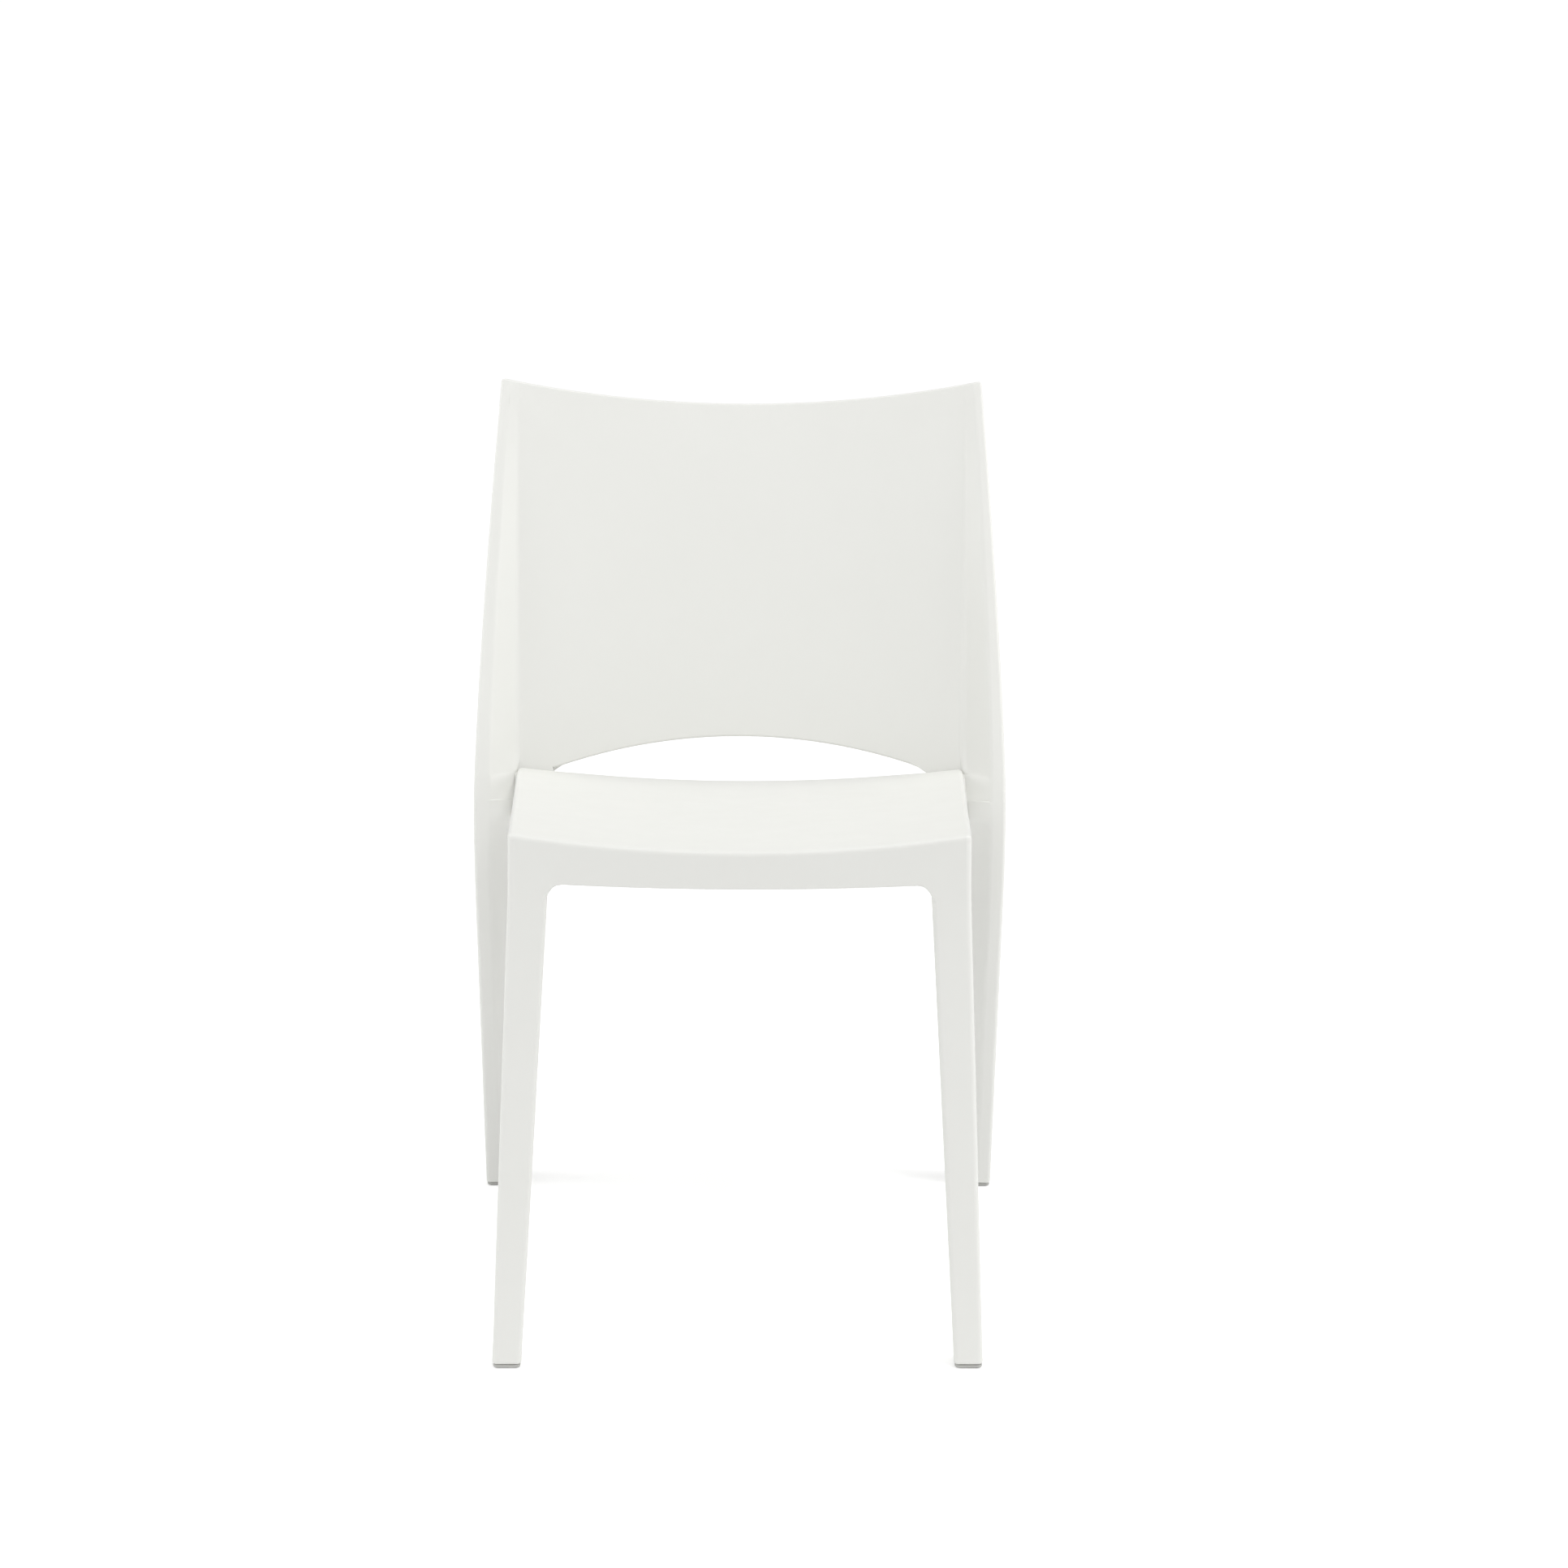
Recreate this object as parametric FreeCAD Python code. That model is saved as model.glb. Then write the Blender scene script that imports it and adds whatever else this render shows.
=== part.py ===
"""Stacking side chair in moulded plastic, in millimetres.

Frame: +X across the chair, +Y towards the back, +Z up. The sitter faces -Y, so the sitter's left is +X.
The origin is on the floor, under the middle of the chair's outline.

Two mouldings make the chair. The back frame is the back panel, the thick side columns that run down into the
rear legs, and a cross rail under the rear of the seat. The seat frame is the dished seat with its skirt, the
front apron and the front legs. Four screws from below hold the seat frame on the cross rail.
"""

import FreeCAD
import Part

import math
import os

Vec = FreeCAD.Vector

# ---------------------------------------------------------------- overall sizes
HEIGHT = 815.0  # floor to the top corners of the back
WIDTH = 516.0  # across the rear legs, the widest place
DEPTH = 524.0  # front feet to the rear feet
SEAT_HEIGHT = 455.0  # floor to the seat's front corners

# ---------------------------------------------------------------- side columns and rear legs
KNEE_HEIGHT = SEAT_HEIGHT - 125.0  # the columns are upright below this and close in above it
TOP_CLOSE_IN = 23.5  # how much further in each column stands at the top
CLOSE_IN_POWER = 1.55
LEG_FRONT_FOOT = DEPTH / 2.0 - 45.0  # front face at the floor
BACK_FRONT_TOP = DEPTH / 2.0 - 34.0  # front face at the top
BACK_FRONT_SLOPE = 0.285
FRONT_KNEE = SEAT_HEIGHT - 27.4  # where the leg's and the back's front lines meet
FRONT_KNEE_BLEND = 8.0
BACK_REAR_TOP = DEPTH / 2.0 - 24.0
BACK_REAR_SLOPE = 0.215
REAR_KNEE = SEAT_HEIGHT + 8.3
REAR_KNEE_BLEND = 12.0
RIM_WIDTH_LOW = 15.0  # the narrow face that looks forward along the column
RIM_WIDTH_TOP = 8.0
RIM_SET_BACK = 1.0
REAR_LEG_WIDTH_FOOT = 30.0
REAR_LEG_WIDTH_KNEE = 34.0
LEG_BEVEL_DEPTH = 26.0  # how far back the leg's slanted inner face runs
COLUMN_JOIN_LOW = SEAT_HEIGHT - 83.0  # from here to the next height the leg's section turns into the column's
COLUMN_JOIN_HIGH = SEAT_HEIGHT - 3.0
REAR_CORE_SHARE = 0.62  # the hollow core's size against the outside of the section
REAR_CORE_TOP = SEAT_HEIGHT - 105.0
SEAM_HEIGHT = SEAT_HEIGHT - 42.0  # fine moulding line across the slanted face of each column
SEAM_WIDTH = 0.8
SEAM_DEPTH = 0.5

# ---------------------------------------------------------------- back panel
PANEL_HALF_WIDTH = WIDTH / 2.0 - 41.0  # where the panel meets the columns
PANEL_ROOT_TOP = DEPTH / 2.0 - 30.0  # the panel's front face beside the column, at the top
PANEL_SLOPE = 0.20
PANEL_HOLLOW = 24.0  # how far the middle of the panel lies behind its sides
PANEL_THICKNESS = 6.0
PANEL_ROOT_OVERLAP = 4.0  # how far the panel runs into each column
TOP_EDGE_DIP = 24.0  # the top edge is this much lower in the middle

# ---------------------------------------------------------------- hand opening
OPENING_HALF_WIDTH = PANEL_HALF_WIDTH - 36.0
OPENING_TOP = SEAT_HEIGHT + 14.5
OPENING_RISE = 30.0

# ---------------------------------------------------------------- cross rail
RAIL_DEPTH = 32.0
RAIL_HEIGHT = 30.0
RAIL_PROUD = 4.0  # how far the rail's rear face stands behind the panel's
RAIL_EDGE_RADIUS = 5.0
RAIL_ROOT = 12.0  # how far the rail runs into each column
RAIL_GAP = 0.3  # between the rail and the seat that rests over it

# ---------------------------------------------------------------- seat
SEAT_FRONT_HALF_WIDTH = PANEL_HALF_WIDTH - 27.0
SEAT_REAR_HALF_WIDTH = PANEL_HALF_WIDTH - 1.0
SEAT_FRONT_SETBACK = 17.0  # the seat's front edge behind the front feet
SEAT_DISH_FRONT = 15.0  # the middle of the seat is this much lower than its edge
SEAT_DISH_REAR = 16.5
SEAT_FALL = 11.5  # the seat slopes down this much from front to rear
SEAT_THICKNESS = 5.0
SEAT_EDGE_RADIUS = 4.0
SEAT_LIP = 3.0  # how far the seat's rear edge stands behind the panel's front face
SEAT_PANEL_GAP = 0.3  # between the seat's rear corners and the back panel
COLUMN_CLEARANCE_SHARE = 1.04  # the seat is cut back from the columns' sections at this size
SKIRT_HEIGHT = 41.0
SKIRT_THICKNESS = 4.5
SKIRT_RAIL_GAP = 2.0
APRON_ARCH = 6.0  # the apron hangs this much lower in the middle than at the legs
RIB_THICKNESS = 3.0
RIB_HEIGHT = 11.0
RIB_FIRST = SEAT_FRONT_SETBACK + 130.0 - DEPTH / 2.0
RIB_LAST = DEPTH / 2.0 - 237.0
RIBS_ACROSS = (RIB_FIRST, (RIB_FIRST + RIB_LAST) / 2.0, RIB_LAST)
RIB_OUTER = OPENING_HALF_WIDTH - 61.0
RIBS_ALONG = (-RIB_OUTER, -RIB_OUTER / 3.0, RIB_OUTER / 3.0, RIB_OUTER)

# ---------------------------------------------------------------- front legs
FRONT_LEG_WIDTH_FOOT = 24.4
FRONT_LEG_WIDTH_TOP = 33.0
FRONT_LEG_SPLAY = 16.5
FRONT_LEG_DEPTH_FOOT = 28.0
FRONT_LEG_DEPTH_TOP = 48.0
FRONT_LEG_EDGE_RADIUS = 4.5
FRONT_LEG_INNER_RADIUS = 10.0
FRONT_CORE_SHARE = 0.62
FRONT_CORE_TOP = SEAT_HEIGHT - 70.0
APRON_FILLET = 11.0

# ---------------------------------------------------------------- glides in the feet
GLIDE_PAD_HEIGHT = 3.0
GLIDE_PAD_SHARE = 0.94
GLIDE_SOLE_SHARE = 0.84
GLIDE_SOLE_RISE = 1.2
GLIDE_SPIGOT_LENGTH = 20.0
GLIDE_SPIGOT_SHARE = 0.97  # the spigot's size against the leg's core

# ---------------------------------------------------------------- stacking buffers
BUFFER_PLACES = (SEAT_FRONT_SETBACK + 95.0 - DEPTH / 2.0, DEPTH / 2.0 - 187.0)  # along the seat's sides
BUFFER_INSET = 13.0  # from the seat's edge
BUFFER_RADIUS = 7.0
BUFFER_HEIGHT = 5.0
BUFFER_PROUD = 2.0  # below the skirt
BUFFER_STEM_RADIUS = 3.0
BUFFER_STEM_LENGTH = 14.0
BUFFER_STEM_GAP = 0.1
BUFFER_STEM_END_GAP = 1.0
BUFFER_BOSS_RADIUS = 9.0

# ---------------------------------------------------------------- screws into the seat
SCREW_OUTER = OPENING_HALF_WIDTH - 31.0
SCREW_PLACES = (-SCREW_OUTER, -SCREW_OUTER * 0.4, SCREW_OUTER * 0.4, SCREW_OUTER)
BOSS_RADIUS = 8.0
BOSS_HEIGHT = 12.0
BOSS_GAP = 0.4
INSERT_RADIUS = 4.2
INSERT_LENGTH = 10.0
SCREW_RADIUS = 3.0
SCREW_THREAD_GAP = 0.1
SCREW_HOLE_GAP = 0.3
SCREW_ENGAGEMENT = 8.5
SCREW_HEAD_RADIUS = 5.5
SCREW_HEAD_HEIGHT = 3.4
WASHER_RADIUS = 6.2
WASHER_THICKNESS = 1.6
COUNTERBORE_RADIUS = 6.8
COUNTERBORE_DEPTH = 9.5
CAP_THICKNESS = 1.8
CAP_PLUG_HEIGHT = 1.6
CAP_WALL = 1.2
CAP_GAP = 0.1
HEX_KEY_ACROSS = 4.0
HEX_KEY_DEPTH = 2.0

# ---------------------------------------------------------------- places worked out from the sizes
FRONT_Y = -DEPTH / 2.0
REAR_Y = DEPTH / 2.0
SEAT_FRONT_Y = FRONT_Y + SEAT_FRONT_SETBACK
SEAT_BOTTOM = SEAT_HEIGHT - SKIRT_HEIGHT
SIDES = {"left": 1, "right": -1}
ALL = 1000.0  # longer than the chair, for cutting solids


def mix(a, b, t):
    return a + (b - a) * t


def smooth_share(value, low, high):
    """0 below low, 1 above high, and a smooth turn between them."""
    t = min(1.0, max(0.0, (value - low) / (high - low)))
    return t * t * (3.0 - 2.0 * t)


def smooth_max(a, b, blend):
    """The larger of two values, with the corner between them rounded over."""
    return (a + b) / 2.0 + math.hypot((a - b) / 2.0, blend)


# ---------------------------------------------------------------- edges, prisms and lofts
def arc(left, middle, right):
    return Part.Arc(Vec(*left), Vec(*middle), Vec(*right)).toShape()


def line(a, b):
    return Part.LineSegment(Vec(*a), Vec(*b)).toShape()


def prism(edges, direction):
    return Part.Face(Part.Wire(edges)).extrude(direction)


def polygon_prism(points, direction):
    return prism([line(points[i - 1], points[i]) for i in range(len(points))], direction)


def cylinder(radius, bottom, top, x, y):
    return Part.makeCylinder(radius, top - bottom, Vec(x, y, bottom))


def group(solids):
    """Separate solids kept in one file."""
    return Part.makeCompound(solids)


def fuse_all(solids):
    return solids[0].fuse(solids[1:]).removeSplitter()


def rounded_wire(corners, radii, z, scale=1.0):
    """A closed wire at height z, scaled about its middle, with a round at each corner if it fits."""
    count = len(corners)
    cx = sum(x for x, y in corners) / count
    cy = sum(y for x, y in corners) / count
    points = [Vec(mix(cx, x, scale), mix(cy, y, scale), z) for x, y in corners]
    starts, middles, ends = [], [], []
    for i, here in enumerate(points):
        to_last = points[i - 1] - here
        to_next = points[(i + 1) % count] - here
        half_angle = to_last.getAngle(to_next) / 2.0
        reach = min(radii[i] * scale / math.tan(half_angle), 0.45 * to_last.Length, 0.45 * to_next.Length)
        radius = reach * math.tan(half_angle)
        to_last.normalize()
        to_next.normalize()
        inward = (to_last + to_next).normalize()
        starts.append(here + to_last * reach)
        middles.append(here + inward * (radius / math.sin(half_angle) - radius))
        ends.append(here + to_next * reach)
    edges = []
    for i in range(count):
        edges.append(Part.Arc(starts[i], middles[i], ends[i]).toShape())
        edges.append(Part.LineSegment(ends[i], starts[(i + 1) % count]).toShape())
    return Part.Wire(edges)


def section_loft(section, heights, scale=1.0):
    """A smooth solid through sections, of low degree so that it doesn't swing between them."""
    return Part.makeLoft([rounded_wire(*section(z), z, scale) for z in heights], True, False, False, 2)


def levels(bottom, top, count):
    return [mix(bottom, top, i / (count - 1)) for i in range(count)]


# ---------------------------------------------------------------- columns
def column_half_width(z):
    above = max(0.0, (z - KNEE_HEIGHT) / (HEIGHT - KNEE_HEIGHT))
    return WIDTH / 2.0 - TOP_CLOSE_IN * above**CLOSE_IN_POWER


def bent_line(z, foot, top, top_slope, knee, blend):
    """A line that leans forward from the foot up to the knee, and back from there to the top."""
    meet = top - top_slope * (HEIGHT - knee)
    leg = mix(foot, meet, z / knee)
    back = top - top_slope * (HEIGHT - z)
    return smooth_max(leg, back, blend)


def column_front(z):
    return bent_line(z, LEG_FRONT_FOOT, BACK_FRONT_TOP, BACK_FRONT_SLOPE, FRONT_KNEE, FRONT_KNEE_BLEND)


def column_rear(z):
    return bent_line(z, REAR_Y, BACK_REAR_TOP, BACK_REAR_SLOPE, REAR_KNEE, REAR_KNEE_BLEND)


def panel_front(x, z):
    """The panel's front face: a round hollow that leans back."""
    radius = (PANEL_HALF_WIDTH**2 + PANEL_HOLLOW**2) / (2.0 * PANEL_HOLLOW)
    root = PANEL_ROOT_TOP - PANEL_SLOPE * (HEIGHT - z)
    return root + PANEL_HOLLOW - radius + math.sqrt(radius**2 - x**2)


def column_section(z):
    """The corners of the left column's section at height z, and the radius at each."""
    half = column_half_width(z)
    front = column_front(z)
    rear = column_rear(z)
    turned = smooth_share(z, COLUMN_JOIN_LOW, COLUMN_JOIN_HIGH)
    up = min(1.0, max(0.0, (z - COLUMN_JOIN_LOW) / (HEIGHT - COLUMN_JOIN_LOW)))
    rim = mix(RIM_WIDTH_LOW, RIM_WIDTH_TOP, up)
    leg_inner = half - mix(REAR_LEG_WIDTH_FOOT, REAR_LEG_WIDTH_KNEE, min(1.0, z / COLUMN_JOIN_LOW))
    root = PANEL_HALF_WIDTH - PANEL_ROOT_OVERLAP
    root_front = panel_front(root, z) + 0.5
    corners = [
        (half, front),
        (half - rim, front + RIM_SET_BACK),
        (mix(leg_inner, root, turned), mix(front + LEG_BEVEL_DEPTH, root_front, turned)),
        (mix(leg_inner + 1.0, root, turned), mix(rear, root_front + PANEL_THICKNESS - 1.0, turned)),
        (half - 3.0, rear),
    ]
    inner_radius = mix(6.0, 1.0, turned)
    radii = [mix(5.0, 3.0, up), mix(3.0, 1.5, up), inner_radius, inner_radius, mix(8.0, 4.0, up)]
    return corners, radii


COLUMN_LEVELS = levels(GLIDE_PAD_HEIGHT, HEIGHT, 20)


def both_sides(solid):
    return [solid, solid.mirror(Vec(0, 0, 0), Vec(1, 0, 0))]


def seam_cutter():
    """A fine line across the slanted face of the left column."""
    corners, radii = column_section(SEAM_HEIGHT)
    outer = Vec(corners[1][0], corners[1][1], SEAM_HEIGHT)
    inner = Vec(corners[2][0], corners[2][1], SEAM_HEIGHT)
    along = (inner - outer).normalize()
    into = Vec(-along.y, along.x, 0)
    if into.y < 0:
        into = into * -1
    ends = (outer - into, inner - into, inner + into * SEAM_DEPTH, outer + into * SEAM_DEPTH)
    return polygon_prism([tuple(p) for p in ends], Vec(0, 0, SEAM_WIDTH))


# ---------------------------------------------------------------- seat surface
def seat_share(y):
    """0 at the seat's front edge and 1 at the panel."""
    return (y - SEAT_FRONT_Y) / (panel_front(SEAT_REAR_HALF_WIDTH, SEAT_HEIGHT) - SEAT_FRONT_Y)


def seat_half_width(y):
    return mix(SEAT_FRONT_HALF_WIDTH, SEAT_REAR_HALF_WIDTH, seat_share(y))


def seat_top(x, y):
    """Height of the seat's upper face: a dish across the chair that falls towards the back."""
    front = SEAT_HEIGHT - SEAT_DISH_FRONT * (1.0 - (x / SEAT_FRONT_HALF_WIDTH) ** 2)
    rear = SEAT_HEIGHT - SEAT_FALL - SEAT_DISH_REAR * (1.0 - (x / SEAT_REAR_HALF_WIDTH) ** 2)
    return mix(front, rear, seat_share(y))


def skirt_bottom(x, y):
    front = SEAT_BOTTOM - APRON_ARCH * (1.0 - (x / SEAT_FRONT_HALF_WIDTH) ** 2)
    return front - SEAT_FALL * seat_share(y)


def above(height_at, drop):
    """Everything above a surface of heights across the chair, lowered by drop."""
    wires = []
    reach = WIDTH
    for y in (FRONT_Y - ALL, REAR_Y + ALL):
        side = height_at(reach, y) - drop
        middle = height_at(0.0, y) - drop
        outline = [
            arc((-reach, y, side), (0, y, middle), (reach, y, side)),
            line((reach, y, side), (reach, y, ALL * 2)),
            line((reach, y, ALL * 2), (-reach, y, ALL * 2)),
            line((-reach, y, ALL * 2), (-reach, y, side)),
        ]
        wires.append(Part.Wire(outline))
    return Part.makeLoft(wires, True, True)


# ---------------------------------------------------------------- back frame
def panel_slab():
    """The panel's round hollow section, run up along its lean."""
    reach = PANEL_HALF_WIDTH
    low = SEAT_BOTTOM
    front = panel_front(reach, low)
    middle = panel_front(0.0, low)
    section = [
        arc((-reach, front, low), (0, middle, low), (reach, front, low)),
        line((reach, front, low), (reach, front + PANEL_THICKNESS, low)),
        arc(
            (reach, front + PANEL_THICKNESS, low),
            (0, middle + PANEL_THICKNESS, low),
            (-reach, front + PANEL_THICKNESS, low),
        ),
        line((-reach, front + PANEL_THICKNESS, low), (-reach, front, low)),
    ]
    rise = HEIGHT - low
    return prism(section, Vec(0, PANEL_SLOPE * rise, rise))


def top_cutter():
    """Everything above the curved top edge of the back."""
    half = column_half_width(HEIGHT)
    high = HEIGHT + ALL
    outline = [
        arc((-half, 0, HEIGHT), (0, 0, HEIGHT - TOP_EDGE_DIP), (half, 0, HEIGHT)),
        line((half, 0, HEIGHT), (ALL, 0, HEIGHT)),
        line((ALL, 0, HEIGHT), (ALL, 0, high)),
        line((ALL, 0, high), (-ALL, 0, high)),
        line((-ALL, 0, high), (-ALL, 0, HEIGHT)),
        line((-ALL, 0, HEIGHT), (-half, 0, HEIGHT)),
    ]
    return prism(outline, Vec(0, ALL, 0))


def opening_cutter():
    """The hand opening under the panel, open below, where the seat closes it."""
    half = OPENING_HALF_WIDTH
    ends = OPENING_TOP - OPENING_RISE
    outline = [
        arc((-half, 0, ends), (0, 0, OPENING_TOP), (half, 0, ends)),
        line((half, 0, ends), (half, 0, 0)),
        line((half, 0, 0), (-half, 0, 0)),
        line((-half, 0, 0), (-half, 0, ends)),
    ]
    return prism(outline, Vec(0, ALL, 0))


def rail_front(x):
    return rail_rear(x) - RAIL_DEPTH


def rail_rear(x):
    return panel_front(x, SEAT_BOTTOM) + PANEL_THICKNESS + RAIL_PROUD


def rail_middle(x):
    return rail_front(x) + RAIL_DEPTH / 2.0


def cross_rail():
    """A bar that follows the panel's curve under the seat's rear edge, and runs into both columns."""
    half = PANEL_HALF_WIDTH
    root = half + RAIL_ROOT
    front = rail_front(half)
    rear = rail_rear(half)
    root_front = panel_front(half, SEAT_BOTTOM)
    outline = [
        arc((-half, front, 0), (0, rail_front(0.0), 0), (half, front, 0)),
        line((half, front, 0), (half, root_front, 0)),
        line((half, root_front, 0), (root, root_front + PANEL_THICKNESS, 0)),
        line((root, root_front + PANEL_THICKNESS, 0), (root, rear, 0)),
        line((root, rear, 0), (half, rear, 0)),
        arc((half, rear, 0), (0, rail_rear(0.0), 0), (-half, rear, 0)),
        line((-half, rear, 0), (-root, rear, 0)),
        line((-root, rear, 0), (-root, root_front + PANEL_THICKNESS, 0)),
        line((-root, root_front + PANEL_THICKNESS, 0), (-half, root_front, 0)),
        line((-half, root_front, 0), (-half, front, 0)),
    ]
    top_drop = SEAT_THICKNESS + RAIL_GAP
    bar = prism(outline, Vec(0, 0, ALL)).common(above(seat_top, top_drop + RAIL_HEIGHT))
    bar = bar.cut(above(seat_top, top_drop))
    middle_z = seat_top(0.0, rail_middle(0.0)) - top_drop - RAIL_HEIGHT / 2.0
    long_edges = [edge for edge in bar.Edges if edge.BoundBox.XLength > half]
    low_edges = [edge for edge in long_edges if edge.BoundBox.ZMin < middle_z]
    return bar.makeFillet(RAIL_EDGE_RADIUS, low_edges)


def boss_bottom(x):
    return seat_top(x, rail_middle(x)) - SEAT_THICKNESS - BOSS_HEIGHT


def counterbore_top(x):
    rail_bottom = seat_top(x, rail_middle(x)) - SEAT_THICKNESS - RAIL_GAP - RAIL_HEIGHT
    return rail_bottom + COUNTERBORE_DEPTH


def opening_roof():
    """Everything over the hand opening's lowest part, which screw holes don't reach."""
    return Part.makeBox(2 * ALL, 2 * ALL, ALL, Vec(-ALL, -ALL, OPENING_TOP - OPENING_RISE))


def make_back_frame():
    slab = panel_slab().cut(opening_cutter())
    column = section_loft(column_section, COLUMN_LEVELS)
    core = section_loft(column_section, levels(GLIDE_PAD_HEIGHT, REAR_CORE_TOP, 6), REAR_CORE_SHARE)
    column = column.cut(core).cut(seam_cutter())
    frame = fuse_all(both_sides(column) + [slab, cross_rail()]).cut(top_cutter())
    for x in SCREW_PLACES:
        y = rail_middle(x)
        pocket = cylinder(BOSS_RADIUS + BOSS_GAP, boss_bottom(x) - BOSS_GAP, SEAT_HEIGHT, x, y)
        hole = cylinder(SCREW_RADIUS + SCREW_HOLE_GAP, 0.0, SEAT_HEIGHT, x, y)
        counterbore = cylinder(COUNTERBORE_RADIUS, 0.0, counterbore_top(x), x, y)
        frame = frame.cut([pocket.cut(opening_roof()), hole.cut(opening_roof()), counterbore])
    return frame


# ---------------------------------------------------------------- seat frame
def front_leg_section(z):
    """The corners of the left front leg's section at height z, and the radius at each."""
    down = max(0.0, (SEAT_BOTTOM - z) / SEAT_BOTTOM)
    outer = SEAT_FRONT_HALF_WIDTH + FRONT_LEG_SPLAY * down
    front = SEAT_FRONT_Y - SEAT_FRONT_SETBACK * down
    width = mix(FRONT_LEG_WIDTH_TOP, FRONT_LEG_WIDTH_FOOT, down)
    depth = mix(FRONT_LEG_DEPTH_TOP, FRONT_LEG_DEPTH_FOOT, down)
    side_slope = seat_half_width(1.0) - seat_half_width(0.0)
    corners = [
        (outer, front),
        (outer - width, front),
        (outer - width + depth * side_slope, front + depth),
        (outer + depth * side_slope, front + depth),
    ]
    edge = FRONT_LEG_EDGE_RADIUS
    return corners, [edge, edge, FRONT_LEG_INNER_RADIUS, edge]


def seat_outline(inset, rear_y):
    """The seat's outline seen from above, from its front edge to rear_y, inset at the front and sides."""
    front_y = SEAT_FRONT_Y + inset
    front_half = seat_half_width(front_y) - inset
    rear_half = seat_half_width(rear_y) - inset
    return [(front_half, front_y), (rear_half, rear_y), (-rear_half, rear_y), (-front_half, front_y)]


def seat_block():
    """The seat's outside, solid, with its edges rounded."""
    rear_y = panel_front(0.0, SEAT_HEIGHT) + ALL / 10.0
    points = [(x, y, 0.0) for x, y in seat_outline(0.0, rear_y)]
    block = polygon_prism(points, Vec(0, 0, ALL)).cut(above(seat_top, 0.0)).common(above(skirt_bottom, 0.0))
    middle_z = SEAT_HEIGHT - SKIRT_HEIGHT / 2.0
    edges = []
    for edge in block.Edges:
        box = edge.BoundBox
        on_front = box.YMax < SEAT_FRONT_Y + 0.1
        on_top = box.ZMin > middle_z
        on_side = box.YLength > DEPTH / 2.0
        upright = box.ZLength > SKIRT_HEIGHT / 2.0
        if (on_front and (on_top or upright)) or (on_side and on_top):
            edges.append(edge)
    return block.makeFillet(SEAT_EDGE_RADIUS, edges)


def seat_rear_cutter():
    """What the seat leaves for the panel: its rear edge follows the panel, and passes through the opening."""
    gap = SEAT_PANEL_GAP
    low = SEAT_BOTTOM
    reach = WIDTH
    half = OPENING_HALF_WIDTH - gap
    side_y = panel_front(SEAT_REAR_HALF_WIDTH, low) - gap
    inner_y = panel_front(half, low) - gap
    lip_y = panel_front(half, low) + SEAT_LIP
    middle_y = panel_front(0.0, low) + SEAT_LIP
    outline = [
        line((-reach, side_y, low), (-SEAT_REAR_HALF_WIDTH, side_y, low)),
        line((-SEAT_REAR_HALF_WIDTH, side_y, low), (-half, inner_y, low)),
        line((-half, inner_y, low), (-half, lip_y, low)),
        arc((-half, lip_y, low), (0, middle_y, low), (half, lip_y, low)),
        line((half, lip_y, low), (half, inner_y, low)),
        line((half, inner_y, low), (SEAT_REAR_HALF_WIDTH, side_y, low)),
        line((SEAT_REAR_HALF_WIDTH, side_y, low), (reach, side_y, low)),
        line((reach, side_y, low), (reach, ALL, low)),
        line((reach, ALL, low), (-reach, ALL, low)),
        line((-reach, ALL, low), (-reach, side_y, low)),
    ]
    rise = SKIRT_HEIGHT * 3
    cutter = prism(outline, Vec(0, PANEL_SLOPE * rise, rise))
    under = prism(outline, Vec(0, 0, -ALL))
    return cutter.fuse(under)


def seat_cavity():
    """The hollow under the seat, open at the rear, where the cross rail stands."""
    points = [(x, y, 0.0) for x, y in seat_outline(SKIRT_THICKNESS, ALL)]
    cavity = polygon_prism(points, Vec(0, 0, ALL))
    rear = Part.makeBox(2 * WIDTH, ALL, ALL, Vec(-WIDTH, rail_front(PANEL_HALF_WIDTH) - SKIRT_RAIL_GAP, 0))
    return cavity.fuse(rear).cut(above(seat_top, SEAT_THICKNESS))


def seat_ribs():
    """Stiffening ribs under the seat, in both directions."""
    front = SEAT_FRONT_Y + SKIRT_THICKNESS / 2.0
    half = RIB_THICKNESS / 2.0
    plates = []
    for x in RIBS_ALONG:
        length = rail_front(abs(x) + RIB_THICKNESS) - SKIRT_RAIL_GAP - front
        plates.append(Part.makeBox(RIB_THICKNESS, length, ALL, Vec(x - half, front, 0)))
    for y in RIBS_ACROSS:
        reach = seat_half_width(y) - SKIRT_THICKNESS / 2.0
        plates.append(Part.makeBox(2 * reach, RIB_THICKNESS, ALL, Vec(-reach, y - half, 0)))
    ribs = fuse_all(plates).common(above(seat_top, SEAT_THICKNESS + RIB_HEIGHT))
    return ribs.cut(above(seat_top, SEAT_THICKNESS / 2.0))


def buffer_places():
    return [(side * (seat_half_width(y) - BUFFER_INSET), y) for side in SIDES.values() for y in BUFFER_PLACES]


def buffer_top(x, y):
    """Height of the boss's end, where the buffer's flange sits."""
    return skirt_bottom(SEAT_FRONT_HALF_WIDTH, y) - BUFFER_PROUD + BUFFER_HEIGHT


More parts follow.
